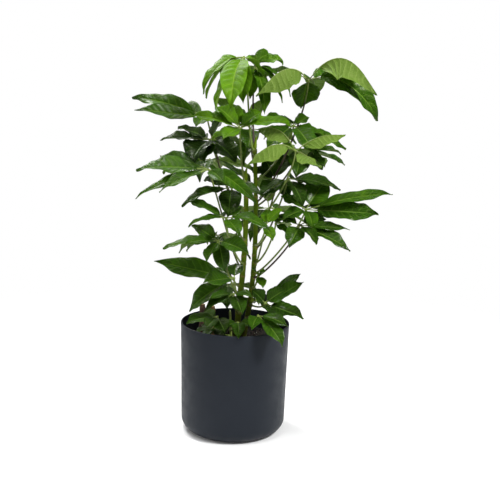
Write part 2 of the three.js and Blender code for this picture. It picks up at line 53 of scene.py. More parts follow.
# %% Place the camera
import math
import bpy
import numpy as np
from mathutils import Matrix, Vector
from mathutils import noise as bumps

MM = 0.001  # the part's sizes are in millimetres, and Blender's in metres
POT_HEIGHT = 255
CAMERA_DISTANCE = 2.0  # metres from the middle of the pot's rim
CAMERA_ABOVE_RIM = math.radians(15.36)
CAMERA_YAW = math.radians(0.88)
CAMERA_PITCH = math.radians(10.61)
CAMERA_ROLL = math.radians(1.61)
FOCAL_PIXELS = 863.4  # focal length in pixels of a frame 500 pixels wide
FRAME_PIXELS = 500
SENSOR_WIDTH = 36  # millimetres


def place_camera():
    data = bpy.data.cameras.new("camera")
    data.sensor_width = SENSOR_WIDTH
    data.lens = FOCAL_PIXELS / FRAME_PIXELS * SENSOR_WIDTH
    camera = bpy.data.objects.new("camera", data)
    back = CAMERA_DISTANCE * math.cos(CAMERA_ABOVE_RIM)
    above = CAMERA_DISTANCE * math.sin(CAMERA_ABOVE_RIM)
    turn = Matrix.Rotation(-CAMERA_YAW, 4, "Z")
    tip = Matrix.Rotation(math.pi / 2 - CAMERA_PITCH, 4, "X")
    roll = Matrix.Rotation(CAMERA_ROLL, 4, "Z")
    place = Matrix.Translation((0, -back, POT_HEIGHT * MM + above))
    camera.matrix_world = place @ turn @ tip @ roll
    bpy.context.scene.collection.objects.link(camera)
    bpy.context.scene.camera = camera
    return camera


camera = place_camera()
print("camera: lens", round(camera.data.lens, 1), "mm at", tuple(round(v, 3) for v in camera.location))

# %% [markdown]
# ## A recipe for finishes
#
# Every finish below, and the light of the studio, is a tree of nodes. Wiring nodes one socket at a time hides
# the idea, so this cell makes a small helper whose calls read like a recipe: a value that is a socket is
# linked, and any other value is typed into the input.

# %% Write the recipe helper
def paint(code):
    """The linear colour that shaders mix, from a code as a picture editor shows it, such as 3b6406."""
    shares = [int(code[i : i + 2], 16) / 255 for i in (0, 2, 4)]
    return tuple(s / 12.92 if s <= 0.04045 else ((s + 0.055) / 1.055) ** 2.4 for s in shares) + (1,)


class Recipe:
    """Adds nodes to a tree and feeds them."""

    def __init__(self, tree):
        self.tree = tree

    def feed(self, socket, value):
        if isinstance(value, bpy.types.NodeSocket):
            self.tree.links.new(value, socket)
        else:
            socket.default_value = value

    def node(self, kind, inputs=(), **settings):
        made = self.tree.nodes.new("ShaderNode" + kind)
        for name, value in settings.items():
            setattr(made, name, value)
        for key, value in dict(inputs).items():
            self.feed(made.inputs[key], value)
        return made

    def math(self, operation, first, second=0.0):
        return self.node("Math", {0: first, 1: second}, operation=operation).outputs[0]

    def plus(self, first, second):
        return self.math("ADD", first, second)

    def minus(self, first, second):
        return self.math("SUBTRACT", first, second)

    def times(self, first, second):
        return self.math("MULTIPLY", first, second)

    def between(self, value, low, high, start=0.0, end=1.0):
        """start where value is at low, end where it is at high, and a smooth change from one to the other."""
        inputs = {"Value": value, "From Min": low, "From Max": high, "To Min": start, "To Max": end}
        return self.node("MapRange", inputs, interpolation_type="SMOOTHSTEP").outputs[0]

    def blend(self, share, first, second):
        return self.node("Mix", {0: share, 6: first, 7: second}, data_type="RGBA").outputs[2]

    def cloud(self, place, scale, detail=2.0):
        """Soft noise from 0 to 1."""
        return self.node("TexNoise", {"Vector": place, "Scale": scale, "Detail": detail}).outputs["Fac"]

    def stretch(self, place, by):
        return self.node("VectorMath", {0: place, 1: by}, operation="MULTIPLY").outputs[0]

    def place(self):
        """Where a point lies in the frame, in metres."""
        return self.node("TexCoord").outputs["Object"]

    def mark(self, name):
        """A number that the mesh carries at each of its points."""
        return self.node("Attribute", attribute_name=name).outputs["Fac"]

    def blade(self):
        """How far along and across a blade a point lies, each from 0 to 1."""
        parts = self.node("SeparateXYZ", {0: self.node("UVMap", uv_map="blade").outputs[0]}).outputs
        return parts[0], parts[1]

    def group(self, tree, **inputs):
        made = self.node("Group", node_tree=tree)
        for name, value in inputs.items():
            self.feed(made.inputs[name.replace("_", " ")], value)
        return made.outputs

    def bump(self, height, strength, distance):
        return self.node("Bump", {"Height": height, "Strength": strength, "Distance": distance}).outputs[0]


print("recipe: helper ready")

# %% [markdown]
# ## Starting a tree
#
# The same recipe fills a material or a node group. A group needs its sockets first. A material comes with
# one shader, whose plain values are typed in by name. Paper that fades away and leaves that let light through
# need a second shader, so one more helper mixes it in.

# %% Start groups and finishes
def start_group(name, inputs, outputs):
    """An empty node group with the sockets {name: kind}. Gives its recipe, what it gets and what it gives."""
    tree = bpy.data.node_groups.new(name, "ShaderNodeTree")
    for sockets, side in ((inputs, "INPUT"), (outputs, "OUTPUT")):
        for socket, kind in sockets.items():
            tree.interface.new_socket(socket, in_out=side, socket_type="NodeSocket" + kind)
    gets = tree.nodes.new("NodeGroupInput").outputs
    gives = tree.nodes.new("NodeGroupOutput").inputs
    return Recipe(tree), gets, gives


def start_finish(name, **plain):
    """A material whose shader has these plain values, with its recipe and its shader's inputs."""
    material = bpy.data.materials.new(name)
    material.use_nodes = True
    shader = material.node_tree.nodes["Principled BSDF"]
    for socket, value in plain.items():
        shader.inputs[socket.replace("_", " ")].default_value = value
    return material, Recipe(material.node_tree), shader.inputs


def mix_in(material, r, share, other):
    """Gives a share of a material's faces to another shader."""
    nodes = material.node_tree.nodes
    both = r.node("MixShader", {0: share, 1: nodes["Principled BSDF"].outputs[0], 2: other})
    r.feed(nodes["Material Output"].inputs["Surface"], both.outputs[0])


print("trees: ready to start")

# %% [markdown]
# ## Studio
#
# Product pictures of house plants are taken in a white cove. A white world stands for it, but leaves would
# mirror a plain white world as a milky sheen and lose their depth, so the cove shows darker in glossy faces
# than it looks to the camera. One large lamp high on the right gives the leaves their lit and shaded sides, a
# weak one fills the left, and one over the front and two behind make the waxy leaves shine. The floor is
# white paper that takes the contact shadow and fades into the cove, so that no horizon shows.

# %% Build the studio
COVE_LIGHT = 0.37
COVE_SHEEN = 0.07  # how bright the cove shows in glossy faces
LAMPS = {
    # name: (place, aim, width in metres, watts)
    "key": ((1.65, -1.1, 2.1), (0, 0, 0.45), 0.55, 70),
    "left_fill": ((-2.0, -1.0, 1.1), (0, 0, 0.5), 1.2, 10),
    "front_top": ((-0.45, -0.9, 2.2), (-0.1, 0, 0.45), 0.4, 10),
    "back_top": ((-0.5, 0.8, 2.3), (0, 0, 0.6), 0.8, 34),
    "back_left": ((-1.1, 1.3, 1.8), (-0.1, 0, 0.55), 0.5, 22),
}


def light_cove():
    """A white world with a brightness of its own for glossy faces and for the camera."""
    world = bpy.data.worlds.new("cove")
    world.use_nodes = True
    r = Recipe(world.node_tree)
    ray = r.node("LightPath").outputs
    level = COVE_LIGHT
    for kind, own_level in (("Is Glossy Ray", COVE_SHEEN), ("Is Camera Ray", 1.0)):
        level = r.node("Mix", {"Factor": ray[kind], "A": level, "B": own_level}).outputs["Result"]
    background = world.node_tree.nodes["Background"].inputs
    r.feed(background["Color"], (1, 1, 1, 1))
    r.feed(background["Strength"], level)
    bpy.context.scene.world = world


def hang_lamp(name, place, aim, width, watts):
    data = bpy.data.lights.new(name, "AREA")
    data.size = width
    data.energy = watts
    lamp = bpy.data.objects.new(name, data)
    lamp.location = place
    lamp.rotation_euler = (Vector(aim) - Vector(place)).to_track_quat("-Z", "Y").to_euler()
    bpy.context.scene.collection.objects.link(lamp)


def finish_paper(near=0.5, far=1.5):
    """White paper that fades into the cove between two distances from the plant, in metres."""
    white = (0.94, 0.94, 0.94, 1)
    paper, r, _ = start_finish("floor_paper", Base_Color=white, Roughness=0.9, Specular_IOR_Level=0.1)
    place = r.node("NewGeometry").outputs["Position"]
    distance = r.node("VectorMath", {0: place}, operation="LENGTH").outputs["Value"]
    mix_in(paper, r, r.between(distance, near, far), r.node("BsdfTransparent").outputs[0])
    return paper


def lay_floor(half=3.0):
    mesh = bpy.data.meshes.new("floor")
    corners = [(-half, -half, 0), (half, -half, 0), (half, half, 0), (-half, half, 0)]
    mesh.from_pydata(corners, [], [(0, 1, 2, 3)])
    floor = bpy.data.objects.new("floor", mesh)
    bpy.context.scene.collection.objects.link(floor)
    mesh.materials.append(finish_paper())


light_cove()
for name, values in LAMPS.items():
    hang_lamp(name, *values)
lay_floor()
bpy.context.scene.view_settings.view_transform = "Standard"
print("studio:", len(LAMPS), "lamps")

# %% [markdown]
# ## Effects that several finishes share
#
# Three effects come back on almost every surface: patchy colour, a fine grain that breaks up gloss, and dust
# that settles on what faces up. Each is built once as a node group with named sockets, and every material
# then uses it with its own values. A group hands out masks and heights only, so the shader itself, with its
# plain values, stays in the material.

# %% Build the shared effects
def build_mottle():
    takes = {"Place": "Vector", "Scale": "Float"}
    r, gets, gives = start_group("mottle", takes, {"Broad": "Float", "Fine": "Float"})
    r.feed(gives["Broad"], r.cloud(gets["Place"], gets["Scale"], 3.0))
    r.feed(gives["Fine"], r.cloud(gets["Place"], r.times(gets["Scale"], 9.0), 4.0))
    return r.tree


def build_grain():
    takes = {"Place": "Vector", "Scale": "Float"}
    r, gets, gives = start_group("grain", takes, {"Height": "Float", "Gloss": "Float"})
    pits = r.node("TexVoronoi", {"Vector": gets["Place"], "Scale": gets["Scale"]}).outputs["Distance"]
    fine = r.cloud(gets["Place"], r.times(gets["Scale"], 2.3), 3.0)
    r.feed(gives["Height"], r.plus(pits, fine))
    r.feed(gives["Gloss"], r.cloud(gets["Place"], r.times(gets["Scale"], 0.02), 4.0))
    return r.tree


def build_dust():
    r, gets, gives = start_group("dust", {"Place": "Vector", "Amount": "Float"}, {"Cover": "Float"})
    facing = r.node("SeparateXYZ", {0: r.node("NewGeometry").outputs["Normal"]}).outputs[2]
    settled = r.between(facing, 0.1, 1.0)
    flecks = r.between(r.cloud(gets["Place"], 140.0, 5.0), 0.45, 0.75)
    r.feed(gives["Cover"], r.times(r.times(settled, flecks), gets["Amount"]))
    return r.tree


mottle, grain, dust = build_mottle(), build_grain(), build_dust()
print("effects:", ", ".join(tree.name for tree in (mottle, grain, dust)))

# %% [markdown]
# ## Curves and rings
#
# A stem, a leaf stalk, a pot and even a leaf blade are all one thing to a modeller: a closed skin drawn
# through a row of rings. A blade's ring is only very flat. Blender could loft curves or turn profiles with
# modifiers, but then the number and the place of the points are hard to steer. Here numpy works out the
# rings, in millimetres, from a few small formulas.

# %% Write the formulas for curves and rings
def unit(vector):
    return vector / np.linalg.norm(vector, axis=-1, keepdims=True)


def draw(seed):
    """A number from -1 to 1 that looks random and is the same for the same seed."""
    wave = math.sin(seed * 12.9898) * 43758.5453
    return 2 * (wave - math.floor(wave)) - 1


def smooth(value, low, high):
    """0 where value is at low, 1 where it is at high, and a smooth change from one to the other."""
    share = np.clip((value - low) / (high - low), 0, 1)
    return share * share * (3 - 2 * share)


def bell(distance, width):
    """1 at no distance, and a smooth fall to nothing over some two widths."""
    return np.exp(-((distance / width) ** 2))


def crowded(steps, amount):
    """Even steps from 0 to 1, moved closer together towards both ends."""
    return steps - amount * np.sin(2 * np.pi * steps) / (2 * np.pi)


def around(sides):
    """The angles of a ring's points."""
    return 2 * np.pi * np.arange(sides) / sides


def spokes(beside, over, sides):
    """The ways from the middle of each ring to its points, from two ways that are square to each other."""
    angles = around(sides)
    return beside[:, None] * np.cos(angles)[:, None] + over[:, None] * np.sin(angles)[:, None]


def course(controls, shares):
    """Points at these shares of a Bezier curve of any degree, and the way that it runs there."""
    shares = np.asarray(shares, float)[:, None]
    level = [np.asarray(control, float)[None, :] for control in controls]
    while len(level) > 2:
        level = [a + (b - a) * shares for a, b in zip(level, level[1:])]
    way = level[1] - level[0]
    return level[0] + way * shares, unit(way + 0 * shares)


def tube(path, way, aside, radii, sides):
    """Rings of a tube. aside is roughly square to its way, and radii has a number for each ring or point."""
    beside = unit(aside - way * np.sum(way * aside, axis=1, keepdims=True))
    radii = np.asarray(radii, float).reshape(len(path), -1, 1)
    return path[:, None] + spokes(beside, np.cross(way, beside), sides) * radii


print("rings: formulas ready")

# %% [markdown]
# ## Skins
#
# A piece of the plant is a heap of such skins, and all of them become faces of one mesh. The mesh also
# carries numbers for the shaders, such as how old a leaf is. A bevelled curve has no place for them, so one
# small class collects points, faces and numbers, and builds the mesh when the piece is complete.

# %% Write the skin builder
class Shape:
    """Collects the skins of one piece, in millimetres, and then builds its mesh."""

    def __init__(self, *marks):
        self.points, self.blade, self.faces, self.finish = [], [], [], []
        self.marks = {mark: [] for mark in marks}
        self.count = 0

    def skin(self, rings, along=0.0, across=0.0, finish=0, tip=None, **marks):
        """A closed skin through rings of as many points each, whose last ring is flat or drawn to a tip.

        along and across say where on a blade each point lies, finish is the material's place in the list, and
        any other mark is a number for all points, for each ring or for each point.
        """
        rows, sides = rings.shape[:2]
        index = self.count + np.arange(rows * sides).reshape(rows, sides)
        beyond = np.roll(index, -1, axis=1)
        quads = np.stack([index[:-1], beyond[:-1], beyond[1:], index[1:]], axis=-1).reshape(-1, 4)
        self.faces += quads.tolist() + [index[0][::-1].tolist()]
        self.finish += np.broadcast_to(finish, (rows - 1, sides)).ravel().tolist()
        last = [index[-1].tolist()]
        points = [rings.reshape(-1, 3)]
        if tip is not None:
            end = self.count + rows * sides
            last = [[a, b, end] for a, b in zip(index[-1].tolist(), beyond[-1].tolist())]
            points.append(np.asarray(tip, float).reshape(1, 3))
        self.faces += last
        self.finish += [int(np.ravel(finish)[0])] * (1 + len(last))
        extra = 0 if tip is None else 1

        def for_each_point(values):
            spread = np.broadcast_to(values, (rows, sides)).ravel()
            return np.append(spread, [spread[-1]] * extra)

        along = np.reshape(along, (-1, 1))
        self.blade.append(np.stack([for_each_point(along), for_each_point(across)], axis=-1))
        for mark, values in self.marks.items():
            values.append(for_each_point(marks.get(mark, 0.0)))
        self.points += points
        self.count += rows * sides + extra

    def build(self, name, finishes, slot, node, crease=55):
        """Makes the piece, which rides with the frame and stands for a plain node.

        Edges that bend by more degrees than crease stay sharp.
        """
        mesh = bpy.data.meshes.new(name)
        mesh.from_pydata((np.concatenate(self.points) * MM).tolist(), [], self.faces)
        corners = np.zeros(len(mesh.loops), int)
        mesh.loops.foreach_get("vertex_index", corners)
        layer = mesh.uv_layers.new(name="blade")
        layer.data.foreach_set("uv", np.concatenate(self.blade)[corners].ravel())
        for mark, values in self.marks.items():
            mesh.attributes.new(mark, "FLOAT", "POINT").data.foreach_set("value", np.concatenate(values))
        for material in finishes:
            mesh.materials.append(material)
        mesh.polygons.foreach_set("material_index", self.finish)
        mesh.shade_smooth()
        mesh.set_sharp_from_angle(angle=math.radians(crease))
        piece = bpy.data.objects.new(name, mesh)
        bpy.context.scene.collection.objects.link(piece)
        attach(piece, "root")
        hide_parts(node)


print("skins: helper ready")

# %% [markdown]
# ## The planter
#
# The real pot is a thin moulded shell of charcoal plastic with a satin skin: a slight taper, a wide round at
# the foot and a fine rounded lip that catches a thread of light. The plain pot has 36 flats, which show along
# the lip, so it is turned again here from the same sizes with a fine profile.

# %% Turn the planter
POT_RIM_RADIUS = 125
POT_FOOT_RADIUS = 120
POT_WALL = 4
POT_FLOOR = 8
POT_BOTTOM_ROUND = 30
POT_SIDES = 144
BOTTOM_STEPS = 10
RIM_STEPS = 12
SIDE_RINGS = range(60, 250, 30)  # heights of the rings on the straight side
FOOT_RING = 60  # radius of a ring that keeps the flat foot's faces short
NEAR_AXIS = 1  # radius of the smallest rings, which the skin closes


def pot_radius(height):
    return POT_FOOT_RADIUS + (POT_RIM_RADIUS - POT_FOOT_RADIUS) * height / POT_HEIGHT


def arc(middle, level, radius, start, end, steps):
    """Points of a profile on an arc, from one angle to another in quarter turns."""
    angles = np.linspace(start, end, steps + 1) * math.pi / 2
    return [(middle + radius * math.cos(a), level + radius * math.sin(a)) for a in angles]


def bottom_edge(inset, floor):
    """The rounded bottom edge, at this inset from the pot's outer face."""
    edge_round = POT_BOTTOM_ROUND - inset
    middle = pot_radius(POT_BOTTOM_ROUND) - POT_BOTTOM_ROUND
    return arc(middle, floor + edge_round, edge_round, -1, 0, BOTTOM_STEPS)


def turn_rings(profile, sides):
    """Rings of a turned form, from a profile of radius and height."""
    angles = around(sides)
    circle = np.stack([np.cos(angles), np.sin(angles), 0 * angles], axis=-1)
    radius = np.array([p[0] for p in profile])[:, None, None]
    height = np.array([p[1] for p in profile])[:, None, None]
    return circle[None] * radius + np.array([0, 0, 1]) * height


rim = POT_WALL / 2
profile = [(NEAR_AXIS, 0), (FOOT_RING, 0), *bottom_edge(0, 0)]
profile += [(pot_radius(height), height) for height in SIDE_RINGS]
profile += arc(POT_RIM_RADIUS - rim, POT_HEIGHT - rim, rim, 0, 2, RIM_STEPS)
profile += [(pot_radius(height) - POT_WALL, height) for height in reversed(SIDE_RINGS[1:])]
profile += [*reversed(bottom_edge(POT_WALL, POT_FLOOR)), (NEAR_AXIS, POT_FLOOR)]
planter = Shape()
planter.skin(turn_rings(profile, POT_SIDES))
print("planter:", len(profile), "rings of", POT_SIDES)

# %% [markdown]
# ## The planter's skin
#
# Moulded plastic is never even. It has faint cloudy patches and a fine grain, and dust lies wherever it faces
# up. A plain grey would look like a drawing of a pot. The three shared effects give all of this, so that only
# the tints and the gloss are the pot's own.

# %% Finish the planter
def finish_planter():
    material, r, gets = start_finish("satin_charcoal", IOR=1.3, Specular_Tint=(0.4, 0.42, 0.46, 1.0))
    place = r.place()
    patches = r.group(mottle, Place=place, Scale=14.0)
    texture = r.group(grain, Place=place, Scale=1700.0)
    settled = r.group(dust, Place=place, Amount=0.5)["Cover"]
    tint = r.blend(patches["Broad"], paint("22262c"), paint("262a30"))
    tint = r.blend(r.between(patches["Fine"], 0.62, 0.8, 0.0, 0.2), tint, paint("2c2f36"))
    r.feed(gets["Base Color"], r.blend(settled, tint, paint("5f5b53")))
    r.feed(gets["Roughness"], r.between(texture["Gloss"], 0.3, 0.7, 0.42, 0.56))
    r.feed(gets["Normal"], r.bump(texture["Height"], 0.18, 0.0002))
    return material


planter.build("planter", [finish_planter()], "pot", "pot")
print("finish: satin charcoal")

# %% [markdown]
# ## The potting soil
#
# Potting soil is dark peat that lies in lumps and settles towards the wall. A flat disc with a bump would do
# from far away, but the light falls on it at a slant, so the points themselves are moved. One height formula
# gives the lumps, because everything that lies on the soil has to know its height too.

# %% Fill the pot with soil
SOIL_LEVEL = 217
SOIL_SETTLED = 1  # how far the lumps lie under the plain model's level
SOIL_EDGE_DROP = 5  # the surface falls by this much to the wall
SOIL_FALLS_FROM = 85  # radius where it starts to fall
SOIL_INSET = 0.5
SOIL_RINGS = 44
SOIL_SIDES = 132
SOIL_RADIUS = pot_radius(SOIL_LEVEL) - POT_WALL - SOIL_INSET
LUMPS = ((24, 4, 3), (7, 1.6, 9), (2.6, 0.7, 5))  # width, height and layer of noise, from coarse to fine


def soil_height(x, y):
    fall = SOIL_EDGE_DROP * float(smooth(math.hypot(x, y), SOIL_FALLS_FROM, SOIL_RADIUS))
    height = SOIL_LEVEL - SOIL_SETTLED - fall
    for width, rise, layer in LUMPS:
        height += rise * bumps.noise(Vector((x / width, y / width, layer)))
    return height


soil = Shape()
hidden = [(60, POT_FLOOR + 1), (95, POT_FLOOR + 3), (113, 40), (SOIL_RADIUS, SOIL_LEVEL - 30)]
surface = [(SOIL_RADIUS * (1 - k / SOIL_RINGS), 0) for k in range(SOIL_RINGS)]
rings = turn_rings(hidden + surface, SOIL_SIDES)
for ring in rings[len(hidden) :]:
    for point in ring:
        point[2] = soil_height(point[0], point[1])
soil.skin(rings, tip=(0, 0, soil_height(0, 0)))
print("soil:", len(rings), "rings of", SOIL_SIDES)

# %% [markdown]
# ## Crumbs, grains and fibres
#
# In the peat lie crumbs of bark, a few pale mineral grains and bits of fibre. They have to be loose solids,
# because their shadows are what makes soil look like soil. A seeded random draw places all of them, and the
# height formula says how high each one lies.

# %% Strew the soil
CRUMB_PROFILE = [(0.6, -0.9), (1, -0.1), (0.75, 0.7)]
CRUMB_SIDES = 6
CRUMBS = 620
GRAINS = 70
FIBRES = 60
BARK, MINERAL = 1, 2  # places in the list of finishes, after the peat


def random_turn(dice):
    return np.array(Matrix.Rotation(dice.uniform(0, 6.28), 3, Vector(dice.normal(size=3)).normalized()))


def random_spot(dice, from_wall, middle_share):
    """A place on the soil at least this far from the wall, with a small share of the middle left free."""
    angle = dice.uniform(0, 2 * math.pi)
    away = (SOIL_RADIUS - from_wall) * math.sqrt(dice.uniform(middle_share, 1))
    return away * math.cos(angle), away * math.sin(angle)


def add_crumb(shape, dice, size, flat, finish):
    """A small broken lump, half pressed into the soil."""
    x, y = random_spot(dice, from_wall=8, middle_share=0.01)
    rings = turn_rings(CRUMB_PROFILE, CRUMB_SIDES)
    rings = rings * dice.uniform(0.75, 1.15, (len(CRUMB_PROFILE), CRUMB_SIDES, 1))
    rings = rings * np.array([size, size * 0.7, size * flat])
    turn = random_turn(dice)
    middle = np.array([x, y, soil_height(x, y) + size * 0.15])
    shape.skin(rings @ turn.T + middle, finish=finish, tip=turn @ np.array([0, 0, size * flat]) + middle)


def add_fibre(shape, dice):
    """A bent thread that lies on the soil."""
    x, y = random_spot(dice, from_wall=25, middle_share=0.02)
    heading = dice.uniform(0, 2 * math.pi)
    step = np.array([math.cos(heading), math.sin(heading)]) * dice.uniform(4, 10)
    bend = np.array([-step[1], step[0]]) * dice.uniform(-0.5, 0.5)
    spots = [np.array([x, y]) + step * s + bend * (1 - s * s) for s in (-1, 0, 1)]
    controls = [(*spot, soil_height(*spot) + 1.2) for spot in spots]
    radii = [0.3, 0.5, 0.5, 0.45, 0.4, 0.2]
    path, way = course(controls, np.linspace(0, 1, len(radii)))
    shape.skin(tube(path, way, np.array([0.0, 0.1, 1.0]), radii, 5), finish=BARK)


dice = np.random.default_rng(11)
for size in dice.uniform(1.6, 5.2, CRUMBS):
    add_crumb(soil, dice, size, 0.5, BARK)
for size in dice.uniform(0.9, 2.0, GRAINS):
    add_crumb(soil, dice, size, 0.8, MINERAL)
for _ in range(FIBRES):
    add_fibre(soil, dice)
print("strewn:", CRUMBS, "crumbs,", GRAINS, "grains and", FIBRES, "fibres")

# %% [markdown]
# ## The look of soil
#
# Peat, bark and mineral grains are all matt and grainy, and differ most in their tint. Three recipes would
# say nearly the same thing, so one makes three finishes, each with a dark and a light tint of its own.

# %% Finish the soil
def finish_soil(name, dark, light, rough):
    material, r, gets = start_finish(name)
    place = r.place()
    patches = r.group(mottle, Place=place, Scale=90.0)
    texture = r.group(grain, Place=place, Scale=900.0)
    tint = r.blend(patches["Broad"], paint(dark), paint(light))
    r.feed(gets["Base Color"], r.blend(r.between(patches["Fine"], 0.4, 0.7, 0.0, 0.5), tint, paint(dark)))
    r.feed(gets["Roughness"], r.between(texture["Gloss"], 0.3, 0.7, rough, 1.0))
    r.feed(gets["Normal"], r.bump(texture["Height"], 0.6, 0.0006))
    return material


soil_finishes = [
    finish_soil("peat", "0d0a08", "1b1510", 0.8),
    finish_soil("bark_crumbs", "17110c", "34261a", 0.7),
    finish_soil("mineral_grains", "8d877b", "c9c4b8", 0.8),
]
soil.build("potting_soil", soil_finishes, "soil", "soil", crease=35)
print("finishes:", len(soil_finishes), "for the soil")

# %% [markdown]
# ## Where everything grows
#
# The fronds are listed once, with the same places and sizes in millimetres as the plain model: the stem and
# the height of the joint, the hub where the leaflets meet, the way the hub faces, and for each leaflet how
# far it reaches across, away and up, its width, how much its rib arches, a turn about the rib in degrees and
# the slope of its halves. A turn of 180 shows the pale underside on top. Two more numbers matter only for the
# looks: age runs from 0, old and dark, to 1, young and bright, and blush from a green stalk to a purple one.
# The stems come first, then the fronds of the crown and those that the left stem carries.

# %% List the stems, the crown and the left side
STEMS = {
    "left": dict(course=((0, -6), (6, -12), (28, -6), (14, -10)), foot=160, top=592, radii=(7.5, 5)),
    "right": dict(course=((6, 8), (52, 4), (42, 8), (34, 6)), foot=160, top=660, radii=(6.8, 4.2)),
}
FRONDS = [
    dict(
        name="frond_crown_left", stem="right", joint=650,
        hub=(5, -20, 850), faces=(-0.2, -0.3, 1), age=0.9, blush=0.1,
        leaflets=[
            (-90, -10, -80, 46, 0.38), (-60, -20, -115, 52, 0.3), (-85, 55, -90, 44, 0.34),
            (-25, -110, -110, 58, 0.26), (0, -15, -100, 46, 0.22), (45, 35, -40, 44, 0.25),
            (-35, 85, -70, 44, 0.25),
        ],
    ),
    dict(
        name="frond_crown_middle", stem="right", joint=650,
        hub=(30, 35, 835), faces=(0.1, -0.2, 1), age=0.6, blush=0.9,
        leaflets=[
            (-20, -15, 15, 26, 0.4, 35), (30, 10, 20, 34, 0.5, 45), (65, 25, 5, 46, 0.35, 25),
            (-10, -20, -75, 34, 0.2), (25, -55, -105, 38, 0.2), (65, -15, -80, 28, 0.3),
            (85, -5, -65, 28, 0.3), (0, 95, -55, 44, 0.2),
        ],
    ),
    dict(
        name="frond_crown_right", stem="right", joint=535,
        hub=(150, 30, 805), faces=(0, -0.3, 1), age=0.52, blush=0.8,
        leaflets=[
            (-115, -80, -40, 84, 0.58, 180, 0.9), (-115, 110, -5, 50, 0.3, 20),
            (-10, 55, -65, 66, 0.3, 180), (145, -40, -30, 92, 0.86, 180, 0.9),
            (165, 10, -85, 60, 0.45, 30), (30, 110, -30, 50, 0.25), (90, 95, 5, 46, 0.2),
        ],
    ),
    dict(
        name="frond_high_far_left", stem="left", joint=480,
        hub=(-75, 25, 720), faces=(-0.2, -0.7, 1), age=0.5, blush=0.6,
        leaflets=[
            (-170, 15, 40, 44, 0.05, -5), (-155, -45, 15, 40, -0.03, -10), (-20, -65, -20, 34, 0.1),
            (-90, 100, 10, 48, 0.12), (10, 115, -15, 46, 0.12), (80, 60, -20, 42, 0.12),
        ],
    ),
    dict(
        name="frond_high_front", stem="left", joint=580,
        hub=(0, -70, 700), faces=(0, -0.5, 1), age=0.75, blush=0.3,
        leaflets=[
            (-55, 20, 45, 46, 0.16), (-60, -20, -25, 32, 0.1), (-35, -60, -20, 36, 0.1),
            (-105, 0, 25, 34, 0.1), (45, 10, 35, 40, 0.15), (110, -25, 10, 42, 0.2),
            (-20, 50, 50, 34, 0.1), (45, 75, 10, 40, 0.12),
        ],
    ),
    dict(
        name="frond_high_left", stem="left", joint=505,
        hub=(-65, 0, 670), faces=(-0.3, -0.3, 1), age=0.05, blush=0.5,
        leaflets=[
            (-110, -25, 0, 44, 0.05), (-75, 30, 25, 40, 0.05), (-35, -65, -40, 76, 0.1, -10),
            (-10, -65, -45, 44, 0.05), (25, 10, 45, 38, 0.1), (60, -30, -45, 60, 0.15),
            (-50, 95, -20, 44, 0.12), (75, 90, -15, 42, 0.12),
        ],
    ),
    dict(
        name="frond_mid_far_left", stem="left", joint=385,
        hub=(-65, -70, 610), faces=(-0.3, -0.7, 1), age=0.5, blush=0.4,
        leaflets=[
            (-110, 45, 25, 36, 0.08), (-155, -20, 0, 54, 0.07), (-155, -40, -60, 28, 0.12),
            (-100, -80, -40, 36, 0.08, 5), (105, -40, -65, 34, 0.3), (35, -70, -20, 32, 0.1),
            (-45, 95, -10, 42, 0.12), (50, 80, -25, 42, 0.12),
        ],
    ),
    dict(
        name="frond_mid_front_left", stem="left", joint=395,
        hub=(-25, -100, 510), faces=(0, -0.4, 1), age=0.42, blush=0.1,
        leaflets=[
            (-85, 10, 35, 34, 0.05), (-80, -30, -15, 24, 0.22), (95, -30, -20, 34, 0.26),
            (35, 30, 25, 32, 0.1), (30, -75, -25, 34, 0.1), (-40, 75, -15, 36, 0.12),
        ],
    ),
    dict(
        name="frond_mid_left", stem="left", joint=450,
        hub=(-15, -45, 570), faces=(-0.1, -0.5, 1), age=0.15, blush=0.3,
        leaflets=[
            (-105, -85, -30, 38, 0.12), (-5, -65, -55, 50, 0.15), (65, -45, -10, 42, 0.1),
            (-65, 60, 10, 38, 0.12), (20, 125, -5, 42, 0.12),
        ],
    ),
    dict(
        name="frond_low_front_left", stem="left", joint=320,
        hub=(-40, -100, 460), faces=(-0.2, -0.5, 1), age=0.4, blush=0.3,
        leaflets=[
            (-60, 25, 30, 38, 0.05), (-120, -10, -15, 36, 0.08), (-70, -40, 0, 30, 0.1),
            (65, -60, -15, 44, 0.12), (15, -40, -60, 36, 0.1), (-25, -50, -35, 32, 0.1),
            (0, 90, -10, 38, 0.12),
        ],
    ),
    dict(
        name="frond_low_far_left", stem="left", joint=310,
        hub=(-5, -60, 370), faces=(-0.1, -1, 1), age=0.35, blush=0.3,
        leaflets=[
            (-175, -20, 40, 50, -0.06), (-65, -70, 5, 46, 0.05), (-100, -25, -70, 48, 0.14),
            (-50, 80, 5, 42, 0.12), (5, 45, 25, 38, 0.12),
        ],
    ),
    dict(
        name="frond_low_front_small", stem="left", joint=280,
        hub=(-5, -85, 340), faces=(0, -0.4, 1), age=0.3, blush=0.3,
        leaflets=[
            (-50, -40, 0, 26, 0.1), (20, -55, -30, 36, 0.1), (-65, -15, -35, 30, 0.1),
            (40, -35, 5, 24, 0.1),
        ],
    ),
]
print("listed:", len(FRONDS), "fronds")

# %% [markdown]
# ## Fronds on the right
#
# The right stem is the taller one. Its fronds reach furthest, and some of their leaflets hang turned over, so
# that the light falls on a pale underside. Fronds could be strewn by chance, but each of these stands for one
# form of the plain model, and says the same as there.

